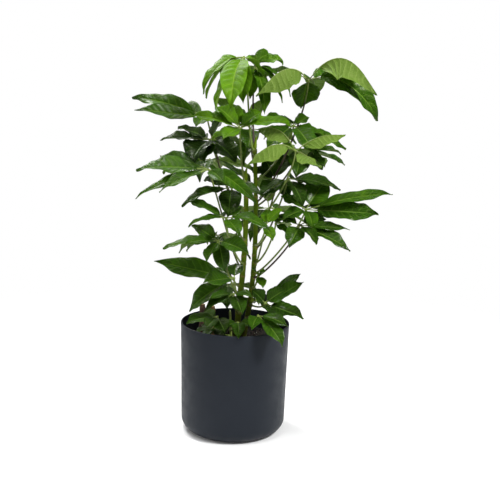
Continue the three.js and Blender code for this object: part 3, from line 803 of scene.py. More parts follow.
# %% List the right side
FRONDS += [
    dict(
        name="frond_low_right", stem="right", joint=295,
        hub=(65, -60, 315), faces=(0.1, -0.8, 1), age=0.2, blush=0.3,
        leaflets=[
            (-30, 0, 30, 36, 0.1), (45, 5, 30, 42, 0.1), (85, 10, 50, 38, -0.04, -5),
            (85, 80, 55, 26, 0.1), (85, -40, -20, 44, -0.04), (10, 85, -5, 38, 0.12),
        ],
    ),
    dict(
        name="frond_rim_right", stem="right", joint=265,
        hub=(50, -95, 295), faces=(0.2, -0.5, 1), age=0.35, blush=0.2,
        leaflets=[
            (55, -45, -55, 40, 0.16), (65, -25, -15, 34, 0.14), (-15, -55, -15, 30, 0.1),
        ],
    ),
    dict(
        name="frond_low_crumpled", stem="right", joint=335,
        hub=(50, -30, 370), faces=(0.2, -0.5, 1), age=0.7, blush=0.1,
        leaflets=[
            (15, -10, 15, 22, 0.1), (-15, -20, 20, 22, 0.1), (10, -30, -20, 24, 0.1),
        ],
    ),
    dict(
        name="frond_mid_far_right", stem="right", joint=370,
        hub=(150, -40, 525), faces=(0.2, -0.6, 1), age=0.4, blush=0.1,
        leaflets=[
            (185, -30, 45, 36, 0.06), (155, -40, 0, 58, 0, 18), (45, 55, 55, 58, 0.1),
            (-55, 25, 25, 46, 0.1), (-55, -60, -15, 34, 0.1), (10, -80, -30, 34, 0.1),
            (75, 85, -5, 44, 0.12), (0, 105, -10, 42, 0.12),
        ],
    ),
    dict(
        name="frond_mid_front_right", stem="right", joint=360,
        hub=(135, -75, 495), faces=(0.2, -0.6, 1), age=0.25, blush=0.9,
        leaflets=[
            (110, -5, -5, 26, 0.03), (110, -35, -45, 42, 0.03, -5), (-50, 5, 15, 34, 0.1),
            (-25, -50, -40, 42, 0.1), (35, -55, -30, 34, 0.1), (65, 90, 5, 36, 0.12),
        ],
    ),
    dict(
        name="frond_mid_front_small", stem="right", joint=435,
        hub=(60, -90, 495), faces=(0, -0.4, 1), age=0.7, blush=0.1,
        leaflets=[
            (-35, -15, 15, 24, 0.1), (5, 35, 30, 26, 0.1), (35, 15, 35, 28, 0.1), (15, -50, -25, 26, 0.1),
        ],
    ),
    dict(
        name="frond_mid_small", stem="right", joint=395,
        hub=(85, -30, 490), faces=(0.1, -0.1, 1), age=0.55, blush=0.2,
        leaflets=[
            (-15, 10, 30, 32, 0.1), (35, 20, 20, 32, 0.1), (25, -30, -20, 34, 0.1),
            (35, 70, -20, 36, 0.12),
        ],
    ),
    dict(
        name="frond_high_front_right", stem="right", joint=490,
        hub=(120, -75, 655), faces=(0, -0.5, 1), age=0.75, blush=0.2,
        leaflets=[
            (-85, 15, 35, 54, 0.66, 180, 0.8), (-105, -35, -35, 58, 0.55, 180, 0.8),
            (105, 0, 35, 44, 0.28, 180, 0.8), (50, -65, -30, 48, 0.12, 165), (30, 95, -20, 44, 0.12),
            (-45, 80, 0, 42, 0.12),
        ],
    ),
    dict(
        name="frond_high_right", stem="right", joint=585,
        hub=(120, 20, 705), faces=(0.1, -0.3, 1), age=0.5, blush=0.3,
        leaflets=[
            (70, -10, -20, 46, 0), (120, -10, -45, 44, -0.04), (-70, 10, 15, 44, 0.1),
            (-60, -50, -50, 54, 0.1), (35, 10, 20, 36, 0.1), (40, -90, -55, 50, 0.12),
            (0, 125, 0, 46, 0.12), (75, 85, -55, 46, 0.12), (-65, 85, -35, 44, 0.12),
        ],
    ),
    dict(
        name="frond_mid_right", stem="right", joint=430,
        hub=(110, -20, 590), faces=(0.2, -0.5, 1), age=0.1, blush=0.4,
        leaflets=[
            (85, -50, -5, 40, 0.05), (120, 10, -20, 44, 0.05), (-65, -25, -40, 45, 0.1, 30),
            (30, -70, -50, 44, 0.1), (30, 95, -20, 40, 0.12),
        ],
    ),
    dict(
        name="frond_high_back_right", stem="right", joint=525,
        hub=(140, 75, 650), faces=(0.2, -0.2, 1), age=0.3, blush=0.4,
        leaflets=[
            (95, -10, -5, 40, 0.05), (110, 25, -35, 42, 0.05), (50, -55, -40, 48, 0.1),
            (-10, -60, -60, 52, 0.1), (-25, 85, -40, 44, 0.12), (-70, 40, -20, 40, 0.12),
            (70, 85, -45, 44, 0.12),
        ],
    ),
    dict(
        name="frond_high_back_middle", stem="right", joint=465,
        hub=(85, 30, 580), faces=(0, -0.4, 1), age=0.15, blush=0.4,
        leaflets=[
            (20, 60, 55, 50, 0.1), (-30, 15, 50, 42, 0.1), (-60, 20, 25, 46, 0.1),
            (-25, -70, -30, 50, 0.1), (30, -20, -35, 48, 0.1), (-10, 95, -35, 44, 0.12),
            (105, 70, -60, 42, 0.12),
        ],
    ),
]
print("listed:", len(FRONDS), "fronds")

# %% [markdown]
# ## Fronds at the back
#
# A plant that is turned to one side looks cut in half from behind, so six fronds fill the back. They are
# plainer than the others: most of their leaflets stand round the hub like the spokes of a wheel.

# %% List the back
FRONDS += [
    dict(
        name="frond_back_high_left", stem="left", joint=490,
        hub=(-70, 135, 615), faces=(-0.19, 0.3, 1), age=0.3, blush=0.5,
        leaflets=[
            (110, 40, -30, 44, 0.12), (20, 110, -40, 44, 0.12), (-105, 85, -50, 44, 0.12),
            (-110, -40, -30, 44, 0.12), (-20, -110, -40, 44, 0.12), (105, -85, -50, 44, 0.12),
        ],
    ),
    dict(
        name="frond_back_mid_right", stem="right", joint=375,
        hub=(75, 150, 500), faces=(0.13, 0.32, 1), age=0.3, blush=0.3,
        leaflets=[
            (-20, -40, 90, 46, 0.1), (-45, -50, -75, 44, 0.12), (80, 95, -30, 44, 0.12),
            (-95, 80, -40, 44, 0.12), (-80, -95, -50, 44, 0.12), (95, -80, -30, 44, 0.12),
        ],
    ),
    dict(
        name="frond_back_high", stem="right", joint=610,
        hub=(25, 120, 690), faces=(0.03, 0.35, 1), age=0.5, blush=0.6,
        leaflets=[
            (-85, -60, 70, 46, 0.1), (30, -10, 75, 40, 0.1), (-15, -60, -80, 48, 0.1),
            (115, 65, -30, 46, 0.12), (-95, 55, -40, 46, 0.12), (-5, -110, -40, 46, 0.12),
        ],
    ),
    dict(
        name="frond_back_mid_left", stem="left", joint=335,
        hub=(-55, 125, 435), faces=(-0.17, 0.31, 1), age=0.25, blush=0.3,
        leaflets=[
            (65, 55, -30, 38, 0.12), (-20, 105, -40, 38, 0.12), (-90, 30, -50, 38, 0.12),
            (-65, -55, -30, 38, 0.12), (20, -105, -40, 38, 0.12), (90, -30, -50, 38, 0.12),
        ],
    ),
    dict(
        name="frond_back_low_right", stem="right", joint=305,
        hub=(50, 100, 290), faces=(0.12, 0.33, 1), age=0.2, blush=0.3,
        leaflets=[
            (75, 15, -30, 34, 0.12), (10, 90, -40, 34, 0.12), (-60, 45, -60, 34, 0.12),
            (-40, -65, -20, 34, 0.12), (40, -70, -40, 34, 0.12),
        ],
    ),
    dict(
        name="frond_back_low_left", stem="left", joint=295,
        hub=(-20, 115, 315), faces=(-0.1, 0.33, 1), age=0.2, blush=0.4,
        leaflets=[
            (80, 45, -30, 34, 0.12), (0, 85, -40, 34, 0.12), (-65, 40, -50, 34, 0.12),
            (-80, -45, -30, 34, 0.12), (0, -85, -40, 34, 0.12), (55, -40, -65, 34, 0.12),
        ],
    ),
]
print("plant:", len(FRONDS), "fronds with", sum(len(frond["leaflets"]) for frond in FRONDS), "leaflets")

# %% [markdown]
# ## Joints of the stems
#
# Each leaf stalk leaves its stem at a joint, and where old leaves have dropped there are bare joints between
# them. The joints in use are known from the list. The bare ones could be drawn at random, but leaves grow in
# a spiral, so they follow each other by the golden angle, wherever no frond is near.

# %% Find the joints
JOINT_SWELL = 1.1  # of the plain model, where the stalks begin
GAP = 0.35  # between a stalk's foot and its stem in the plain model
FIRST_SCAR = (222.0, 1.0)  # height and direction
SCAR_SPACING = 21
SCARS_END = 20  # below the stem's top
SCAR_SIZE = 0.45  # of a bare joint, where 1 is a joint that carries a frond
GOLDEN_ANGLE = 2.4  # between the directions of joints that follow each other
KNOB = ("right", 306, 0.2, 2.2)  # an old, thickened joint: its stem, height, direction and size


def stem_at(stem, heights):
    """The stem's centre, its way and its radius at these heights."""
    rise = (stem["top"] - stem["foot"]) / 3
    controls = [(x, y, stem["foot"] + rise * k) for k, (x, y) in enumerate(stem["course"])]
    shares = (np.asarray(heights, float) - stem["foot"]) / (stem["top"] - stem["foot"])
    centre, way = course(controls, shares)
    first, last = stem["radii"]
    return centre, way, first + (last - first) * shares


def frond_foot(frond):
    """Where a frond's stalk leaves its stem, and the level way that it leaves."""
    centre, _, radius = stem_at(STEMS[frond["stem"]], [frond["joint"]])
    outward = np.array(frond["hub"], float) - centre[0]
    outward[2] = 0
    outward = unit(outward)
    return centre[0] + outward * (radius[0] + JOINT_SWELL + GAP), outward


def stem_scars(side):
    """Every joint of a stem as height, direction and how much it swells, in use and bare."""
    joints = []
    for frond in FRONDS:
        if frond["stem"] == side:
            outward = frond_foot(frond)[1]
            joints.append((frond["joint"] - 2, math.atan2(outward[1], outward[0]), 1.0))
    heights = [joint[0] for joint in joints]
    height, turn = FIRST_SCAR
    while height < STEMS[side]["top"] - SCARS_END:
        if min(abs(height - other) for other in heights) > SCAR_SPACING * 0.4:
            joints.append((height, turn, SCAR_SIZE))
        height += SCAR_SPACING * (1 + 0.3 * draw(height))
        turn += GOLDEN_ANGLE
    if side == KNOB[0]:
        joints.append(KNOB[1:])
    return joints


for side in STEMS:
    print("stem", side + ":", len(stem_scars(side)), "joints and scars")

# %% [markdown]
# ## Stems
#
# An umbrella plant's stem stays green for years. A joint swells, most on the side of its leaf, and a tan
# crescent scar lies there with a fine groove over it. All of this is written as formulas of height and
# direction, so one tube carries it, and the scar is also stored as a mark that the shader can colour. The
# growing tip is made of three spears, one inside the other.

# %% Grow the stems
STEM_STEP = 2.2  # between rings
STEM_SIDES = 40
SWELL_HEIGHT = 1.5
SWELL_WIDTH = 5
GROOVE_DEPTH = 0.6
GROOVE_WIDTH = 1.5
GROOVE_ABOVE = 5  # how far over a joint its groove runs
RIDGES = 9
BUD_TIP = np.array([4.0, -3.0, 22.0])
BUD_SHEATHS = ((0.42, 1.12, -0.18), (0.68, 0.86, 0.0), (0.99, 0.62, 0.1))  # length, width and start
BUD_RINGS = 14
ACROSS = np.array([1.0, 0.0, 0.0])  # the way that an upright tube's first point lies


def grow_stem(side):
    stem = STEMS[side]
    heights = np.arange(stem["foot"], stem["top"] + 0.1, STEM_STEP)
    centre, way, radius = stem_at(stem, heights)
    turns = around(STEM_SIDES)
    relief = np.zeros((len(heights), STEM_SIDES))
    scar = np.zeros_like(relief)
    for height, turn, size in stem_scars(side):
        above = heights[:, None] - height
        toward = np.cos(turns[None] - turn)  # 1 where the old leaf sat, and -1 at the stem's other side
        relief += size * SWELL_HEIGHT * bell(above, SWELL_WIDTH) * (0.45 + 0.55 * toward)
        relief -= size * GROOVE_DEPTH * bell(above - GROOVE_ABOVE, GROOVE_WIDTH)
        crescent = bell(above - 3 + 4 * toward, 2.2) * smooth(toward, -0.2, 0.6)
        scar = np.maximum(scar, crescent * (1.2 - 0.4 * size))
    relief += 0.14 * np.sin(RIDGES * turns)[None] * np.sin(heights / 37)[:, None]
    shape = Shape("scar", "swell", "height")
    share = (heights - heights[0]) / (heights[-1] - heights[0])
    rings = tube(centre, way, ACROSS, radius[:, None] + relief, STEM_SIDES)
    shape.skin(rings, scar=scar, swell=np.clip(relief / 2.5, 0, 1), height=share[:, None])
    add_bud(shape, centre[-1], radius[-1])
    return shape


def add_bud(shape, foot, radius):
    """The growing tip: a spear of folded young leaves that stands out of two sheaths."""
    lean = BUD_TIP * np.array([0.4, 0.4, 1.0])
    shares = np.linspace(0, 1, BUD_RINGS)
    for length, width, start in BUD_SHEATHS:
        controls = (foot + lean * start, foot + lean * (start + 0.3), foot + BUD_TIP * length)
        path, way = course(controls, shares)
        radii = radius * width * np.sqrt(1 - shares**2.2) + 0.05
        rings = tube(path, way, ACROSS, radii, STEM_SIDES // 2)
        shape.skin(rings, scar=0.12 * shares[:, None], swell=0.3, height=1.0)


stem_shapes = {side: grow_stem(side) for side in STEMS}
print("stems:", {side: shape.count for side, shape in stem_shapes.items()}, "points")

# %% [markdown]
# ## The skin of a stem
#
# Old wood at the foot is dull brown. The green is painted darker towards the foot as painted shade, for the
# shade that the leaves above cast there, and the joints are paler than the green between them. Fine streaks
# run up the stem, and between them lie small raised pores. All tints are mixed from the marks that the mesh
# carries, so colour and form can't drift apart.

# %% Finish the stems
WAX = (1.0, 1.0, 0.4, 1.0)  # the warm tint of the sheen on anything green


def finish_stem():
    material, r, gets = start_finish("green_stem", IOR=1.36, Specular_Tint=WAX)
    place = r.place()
    height, scar = r.mark("height"), r.mark("scar")
    patches = r.group(mottle, Place=place, Scale=45.0)
    streaks = r.cloud(r.stretch(place, (900, 900, 30)), 1.0, 4.0)
    # painted shade: the green darkens towards the foot, for the shade that the leaves above cast on the stem
    tint = r.blend(r.between(height, 0.2, 0.6), paint("2c3606"), paint("56720a"))
    tint = r.blend(r.between(patches["Broad"], 0.35, 0.65, 0.0, 0.4), tint, paint("6e8a18"))
    tint = r.blend(r.times(r.mark("swell"), 0.7), tint, paint("94ad34"))
    tint = r.blend(r.between(streaks, 0.5, 0.75, 0.0, 0.4), tint, paint("34460a"))
    cells = r.stretch(place, (330, 330, 140))
    pores = r.node("TexVoronoi", {"Vector": cells, "Scale": 1.0}).outputs["Distance"]
    tint = r.blend(r.between(pores, 0.24, 0.14, 0.0, 0.45), tint, paint("828a3c"))
    old = r.between(height, 0.4, 0.1, 0.0, 0.9)
    tint = r.blend(r.times(old, patches["Fine"]), tint, paint("4a3a22"))
    tint = r.blend(r.between(scar, 0.25, 0.9, 0.0, 0.85), tint, paint("8a6f45"))
    r.feed(gets["Base Color"], tint)
    r.feed(gets["Roughness"], r.between(patches["Fine"], 0.3, 0.7, 0.38, 0.55))
    r.feed(gets["Normal"], r.bump(r.minus(streaks, r.between(pores, 0.14, 0.24)), 0.35, 0.0004))
    return material


green_stem = finish_stem()
for side, shape in stem_shapes.items():
    shape.build("jointed_stem_" + side, [green_stem], "stem", "stem_" + side)
print("finish:", green_stem.name)

# %% [markdown]
# ## Pruned stubs
#
# Two older stems were cut off short and have turned woody. Their bark is furrowed along the stub and cracked
# round it. A bump would leave the outline smooth, so stretched noise moves the points themselves. The cut is
# made of a few more rings of the same tube, up to the pith.

# %% Carve the stubs
STUBS = {
    "dark": dict(at=(-72, -10), lean=(-4, 2), foot=165, top=297, radius=7.0, tints=("2a1d15", "5d4230")),
    "tan": dict(at=(-56, 12), lean=(2, 0), foot=165, top=288, radius=7.5, tints=("6b5233", "b0935f")),
}
STUB_SIDES = 36
STUB_STEP = 1.6  # between rings
STUB_COLLAR = 52  # depth of the old joint under the cut
COLLAR_WIDTH = 5
STUB_NARROWS = 14  # length over which the stub narrows to its cut
# Rings of the cut face, each as its share of the stub's radius and how far it lies from bark to pith
CUT_RINGS = ((0.93, 0.1), (0.8, 0.2), (0.6, 0.4), (0.4, 0.6), (0.25, 0.75), (0.12, 0.9))


def carve_stub(stub):
    heights = np.arange(stub["foot"], stub["top"] + 0.1, STUB_STEP)
    share = (heights - stub["foot"]) / (stub["top"] - stub["foot"])
    centre = np.array([*stub["at"], 0.0]) + share[:, None] * np.array([*stub["lean"], 0.0])
    centre[:, 2] = heights
    turns = around(STUB_SIDES)
    below = stub["top"] - heights
    radii = stub["radius"] + 1.2 * bell(below - STUB_COLLAR, COLLAR_WIDTH)
    radii = radii - 1.2 * smooth(below, STUB_NARROWS, 0)
    relief = np.zeros((len(heights), STUB_SIDES))
    for row, height in enumerate(heights):
        for column, turn in enumerate(turns):
            spot = Vector((3 * math.cos(turn), 3 * math.sin(turn), height / 16 + stub["radius"]))
            relief[row, column] = 0.9 * bumps.noise(spot) + 0.5 * bumps.noise(spot * 2.7)
    way = np.tile(np.array([0.0, 0, 1]), (len(heights), 1))
    rings = tube(centre, way, ACROSS, radii[:, None] + relief, STUB_SIDES)
    top = []
    for size, _ in CUT_RINGS:
        ring = centre[-1] + (rings[-1] - centre[-1]) * size
        ring[:, 2] += 0.8 * (1 - size) + 0.5 * np.sin(7 * turns + 9 * size)
        top.append(ring)
    shape = Shape("cut")
    cut = np.concatenate([0 * heights, [inward for _, inward in CUT_RINGS]])
    shape.skin(np.concatenate([rings, top]), cut=cut[:, None], tip=centre[-1] + np.array([0, 0, 0.2]))
    return shape


stub_shapes = {side: carve_stub(stub) for side, stub in STUBS.items()}
print("stubs:", {side: shape.count for side, shape in stub_shapes.items()}, "points")

# %% [markdown]
# ## Bark and cut wood
#
# The cut shows pale wood, rings and a dark pith. Bark and cut could have a finish each, but they would meet
# in a hard line. Here one finish passes from one to the other by a number that the mesh carries: 0 on the
# bark, and nearly 1 at the pith.

# %% Finish the stubs
def finish_bark(name, dark, light):
    material, r, gets = start_finish(name)
    place = r.place()
    cut = r.mark("cut")
    patches = r.group(mottle, Place=place, Scale=70.0)
    furrows = r.cloud(r.stretch(place, (620, 620, 60)), 1.0, 5.0)
    tint = r.blend(r.between(furrows, 0.35, 0.65), paint(dark), paint(light))
    tint = r.blend(r.between(patches["Fine"], 0.5, 0.8, 0.0, 0.6), tint, paint(dark))
    rings = r.math("SINE", r.times(cut, 34.0))
    wood = r.blend(r.between(rings, -1.0, 1.0), paint("8f7448"), paint("b89c6c"))
    wood = r.blend(r.between(cut, 0.72, 0.8), wood, paint("3a291b"))
    r.feed(gets["Base Color"], r.blend(r.between(cut, 0.02, 0.08), tint, wood))
    r.feed(gets["Roughness"], r.between(patches["Broad"], 0.3, 0.7, 0.75, 0.95))
    r.feed(gets["Normal"], r.bump(furrows, 0.7, 0.0012))
    return material


for side, shape in stub_shapes.items():
    bark = finish_bark("bark_" + side, *STUBS[side]["tints"])
    shape.build("pruned_stub_" + side, [bark], "bark", "stub_" + side, crease=70)
print("finish: bark in", len(STUBS), "tints")

# %% [markdown]
# ## The veins of a leaflet
#
# From a pale midrib some nine pairs of side veins swing towards the tip, and a fine net fills the space
# between them. The blade bulges a little in each panel between two side veins, which is what breaks its gloss
# into patches. One formula gives the side veins, in numpy for the mesh and in shader nodes for the colour, so
# that the bulges and the pale lines fall on the same places.

# %% Build the vein pattern
VEIN_PAIRS = 9
VEIN_LEAN = 0.07  # how far a vein runs towards the tip on its way to the margin, as a share of the blade


def panel_height(along, across):
    """How far the blade bulges between its side veins, from 0 to 1. across runs from -1 to 1."""
    out = np.abs(across)
    phase = (along - VEIN_LEAN * (out + out**2)) * VEIN_PAIRS + 0.5 * (across > 0)
    gap = np.abs(phase - np.floor(phase) - 0.5) * 2
    return smooth(gap, 0, 0.7) * smooth(out, 0, 0.2) * smooth(out, 1, 0.75)


def build_veins():
    r, gets, gives = start_group(
        "leaf_veins",
        {"Along": "Float", "Across": "Float", "Place": "Vector"},
        {"Midrib": "Float", "Side Veins": "Float", "Net": "Float", "Panels": "Float"},
    )
    signed = r.minus(r.times(gets["Across"], 2.0), 1.0)
    out = r.math("ABSOLUTE", signed)
    bend = r.times(r.plus(out, r.times(out, out)), VEIN_LEAN)
    wander = r.between(r.cloud(gets["Place"], 60.0), 0.0, 1.0, -0.02, 0.02)
    start = r.plus(r.minus(gets["Along"], bend), wander)
    other_side = r.times(r.math("GREATER_THAN", signed, 0.0), 0.5)
    phase = r.plus(r.times(start, VEIN_PAIRS), other_side)
    gap = r.times(r.math("ABSOLUTE", r.minus(r.math("FRACT", phase), 0.5)), 2.0)
    fade = r.between(out, 1.0, 0.7)
    cells = {0: r.times(gets["Along"], 46.0), 1: r.times(signed, 9.0)}
    cells = {"Vector": r.node("CombineXYZ", cells).outputs[0], "Scale": 1.0}
    net = r.node("TexVoronoi", cells, feature="DISTANCE_TO_EDGE").outputs["Distance"]
    r.feed(gives["Midrib"], r.between(out, 0.075, 0.02))
    r.feed(gives["Side Veins"], r.times(r.between(gap, 0.16, 0.02), fade))
    r.feed(gives["Net"], r.between(net, 0.14, 0.02))
    r.feed(gives["Panels"], r.times(r.between(gap, 0.0, 0.7), fade))
    return r.tree


leaf_veins = build_veins()
print("veins:", VEIN_PAIRS, "pairs")

# %% [markdown]
# ## The face of a leaf
#
# The upper face of a leaflet is waxy: deep green when old, fresh yellow-green when young. Its wax lies in
# patches, and where it is thick the net of veins breaks a white gleam into pieces. A picture of one leaf
# would repeat on all of them, but a recipe that starts from the place in the frame never does. Light also
# passes through a leaf, so the face mixes in some translucence.

# %% Finish the face
def glow_through(material, r, share, tint):
    """Lets a share of the light pass through a thin face, in its own tint."""
    mix_in(material, r, share, r.node("BsdfTranslucent", {"Color": tint}).outputs[0])


def finish_leaf_face():
    material, r, gets = start_finish(
        "leaf_face", IOR=1.36, Specular_Tint=WAX, Coat_Roughness=0.27, Coat_IOR=1.6
    )
    along, across = r.blade()
    place = r.place()
    age = r.mark("age")
    veins = r.group(leaf_veins, Along=along, Across=across, Place=place)
    patches = r.group(mottle, Place=place, Scale=38.0)
    tone = r.plus(age, r.between(patches["Broad"], 0.3, 0.7, -0.18, 0.18))
    tint = r.blend(r.between(tone, 0.0, 0.5), paint("153404"), paint("346308"))
    tint = r.blend(r.between(tone, 0.45, 1.0), tint, paint("699e10"))
    tint = r.blend(r.between(patches["Fine"], 0.3, 0.8, 0.0, 0.35), tint, paint("274a04"))
    # painted shade: the middle of each panel between the side veins is painted a darker green, for the shade
    # of the quilted blade
    tint = r.blend(r.times(veins["Panels"], 0.22), tint, paint("1d3c02"))
    side_veins = r.times(veins["Side Veins"], 0.5)
    lines = r.math("MAXIMUM", side_veins, r.times(veins["Midrib"], 0.95))
    tint = r.blend(lines, tint, r.blend(age, paint("5f8634"), paint("88b02c")))
    r.feed(gets["Base Color"], tint)
    r.feed(gets["Roughness"], r.plus(r.between(patches["Fine"], 0.2, 0.8, 0.3, 0.44), side_veins))
    wax = r.times(r.between(r.cloud(place, 9.0), 0.47, 0.6), r.between(age, 0.9, 0.3, 0.1, 1.0))
    r.feed(gets["Coat Weight"], r.times(wax, r.between(veins["Net"], 0.0, 1.0, 0.8, 0.1)))
    net = r.times(veins["Net"], 0.6)
    relief = r.minus(r.times(veins["Panels"], 0.6), net)
    r.feed(gets["Normal"], r.bump(r.minus(relief, side_veins), 0.65, 0.001))
    glow_through(material, r, 0.3, r.blend(age, paint("2c4d08"), paint("a6d020")))
    return material


leaf_face = finish_leaf_face()
print("finish:", leaf_face.name)

# %% [markdown]
# ## The back of a leaf
#
# The underside is matt and much paler, and its veins stand out where those of the face lie in grooves. A
# blade is a closed skin, so its back can have a finish of its own. It uses the same vein pattern and turns
# the relief round.

# %% Finish the back
def finish_leaf_back():
    material, r, gets = start_finish("leaf_back", IOR=1.4, Specular_Tint=WAX)
    along, across = r.blade()
    place = r.place()
    age = r.mark("age")
    veins = r.group(leaf_veins, Along=along, Across=across, Place=place)
    patches = r.group(mottle, Place=place, Scale=50.0)
    tint = r.blend(age, paint("4a6822"), paint("84a540"))
    tint = r.blend(r.between(patches["Broad"], 0.3, 0.7, 0.0, 0.4), tint, paint("5d8026"))
    # painted shade: the sunken panels between the raised veins of the back are painted a darker green, for
    # the shade in these hollows
    tint = r.blend(r.times(veins["Panels"], 0.25), tint, paint("3f6218"))
    side_veins = r.times(veins["Side Veins"], 0.5)
    net = r.times(veins["Net"], 0.25)
    tint = r.blend(r.math("MAXIMUM", side_veins, net), tint, paint("96b05c"))
    r.feed(gets["Base Color"], tint)
    r.feed(gets["Roughness"], r.between(patches["Fine"], 0.3, 0.7, 0.42, 0.6))
    relief = r.minus(r.plus(side_veins, net), r.times(veins["Panels"], 0.6))
    r.feed(gets["Normal"], r.bump(relief, 0.75, 0.001))
    glow_through(material, r, 0.3, r.blend(age, paint("5d8a1c"), paint("a3c93a")))
    return material


leaf_back = finish_leaf_back()
print("finish:", leaf_back.name)

# %% [markdown]
# ## The skin of a stalk
#
# Leaf stalks are smooth, some green, some flushed with purple, and the flush fades towards the leaflets. Two
# finishes would end it at a hard line, so the mesh carries it as a number that one finish reads.

# %% Finish the stalks
def finish_stalk():
    material, r, gets = start_finish("leaf_stalk", IOR=1.45)
    place = r.place()
    blush = r.mark("blush")
    patches = r.group(mottle, Place=place, Scale=80.0)
    uneven = r.plus(blush, r.between(patches["Broad"], 0.3, 0.7, -0.2, 0.2))
    tint = r.blend(patches["Fine"], paint("6c8034"), paint("8ea24c"))
    tint = r.blend(r.between(uneven, 0.1, 0.8), tint, paint("43322a"))
    r.feed(gets["Base Color"], tint)
    r.feed(gets["Roughness"], r.between(patches["Fine"], 0.3, 0.7, 0.38, 0.5))
    r.feed(gets["Normal"], r.bump(r.cloud(r.stretch(place, (900, 900, 120)), 1.0, 3.0), 0.3, 0.0003))
    return material


leaf_stalk = finish_stalk()
frond_finishes = [leaf_face, leaf_back, leaf_stalk]
FACE, BACK, STALK = range(3)
print("finish:", leaf_stalk.name)

# %% [markdown]
# ## The outline of a leaflet
#
# A blade is widest a little before its middle, and it ends in a narrow tip that lets the rain drip off. One
# formula gives its half width. The points across it lie closest at the rib and at the margin, where a blade
# bends most. They run over the top and back underneath, so that one closed skin has a face and a back.

# %% Outline a leaflet
BLADE_COLUMNS = np.array([0, 0.07, 0.2, 0.36, 0.53, 0.7, 0.85, 0.96])  # from the rib to near the margin


def blade_outline(along):
    """Half the width of a blade, as a share of its widest, with the drip tip drawn in."""
    plain = 2.8 * along**0.6 * (1 - along) ** 0.85
    return plain * (1 - 0.42 * smooth(along, 0.76, 0.96))


def blade_section():
    """Places across a blade from 1 to -1 over the top and back underneath, and which face each is on."""
    side = BLADE_COLUMNS[::-1]
    top = np.concatenate([[1.0], side, -BLADE_COLUMNS[1:], [-1.0]])
    under = -top[1:-1]
    across = np.concatenate([top, under])
    face = np.concatenate([[0], np.ones(len(top) - 2), [0], -np.ones(len(under))])
    finish = np.concatenate([np.full(len(top) - 1, FACE), np.full(len(under) + 1, BACK)])
    return across, face, finish


print("outline:", len(blade_section()[0]), "points round a blade")

# %% [markdown]
# ## The blade
#
# A blade is folded along its rib like a shallow gutter, its margin waves, and it bulges between the side
# veins. A flat card with a picture shows none of that, and it has no thickness either. Here each of these
# forms is a small height over the leaflet's curve, and their sum moves the points of a very flat closed skin.

# %% Make the blade
LEAF_STALK_SHARE = 0.16  # share of a leaflet's length that is its own bare stalk
LEAF_THICKNESS = 0.8
LEAF_WAVE = 0.1  # height of the margin's waves, as a share of the blade's width
LEAF_WAVES = 9
RIPPLE = 0.03  # height of the fine ripple along the margin, as a share of the width
QUILT = 1.1  # height of the panels between side veins on a blade 45 wide
RIB_GROOVE = 0.3  # depth of the groove over the midrib
TIP_DROOP = 0.03  # how far the drip tip hangs down, as a share of the length
ROW_STEP = 3.4  # between rows of points along a blade


def add_blade(shape, sections, length, width, fold, seed, age):
    """The blade as a very flat tube, whose rows crowd together towards both ends."""
    rows = max(16, int(length / ROW_STEP))
    along = crowded(np.linspace(0, 0.985, rows), 0.45)
    centre, _, beside, over = sections(LEAF_STALK_SHARE + (1 - LEAF_STALK_SHARE) * along)
    across, face, finish = blade_section()
    spread = 1 / math.hypot(1, fold)
    half = np.hypot(width / 2 * blade_outline(along) * spread, 1.1 * (1 - along))[:, None]
    out = np.abs(across)[None]
    u = along[:, None]
    drift = np.where(across > 0, draw(seed + 1), draw(seed + 2))[None]  # each half waves in its own way
    wave = LEAF_WAVE * np.sin(LEAF_WAVES * u + 6 * drift) * np.minimum(1, 3 * u) * out**2
    ripple = RIPPLE * np.sin(3.1 * LEAF_WAVES * u + 17 * drift) * smooth(u, 0.05, 0.3) * out**4
    # The fold along the rib and the waves of the margin, then panels, groove, drip tip and thickness
    lift = fold * half * (1.35 * out - 0.35 * out**2) + width * spread**2 * (wave + ripple)
    lift = lift + QUILT * width / 45 * panel_height(u, across[None])
    lift = lift - RIB_GROOVE * bell(out, 0.06) * (face > 0)
    lift = lift - TIP_DROOP * length * smooth(u, 0.8, 1.0) ** 2
    lift = lift + face * LEAF_THICKNESS / 2 * smooth(1 - u, 0, 0.1)
    points = centre[:, None] + beside[:, None] * (across * half)[..., None] + over[:, None] * lift[..., None]
    end, _, _, end_over = sections(np.array([1.0]))
    tip = end[0] - end_over[0] * TIP_DROOP * length
    shape.skin(points, along=along, across=(across[None] + 1) / 2, finish=finish[None], tip=tip, age=age)


print("blade: rows about", ROW_STEP, "mm apart")

# %% [markdown]
# ## The rib
#
# A leaflet hangs from a bare stalk of its own, which runs on under the blade as the midrib. A shader could
# paint the rib, but from below and from the side it stands out, so it is a thin tube. It swells where the
# blade begins, and sinks in under the blade's own curve.

# %% Make the rib
RIB_SIDES = 8


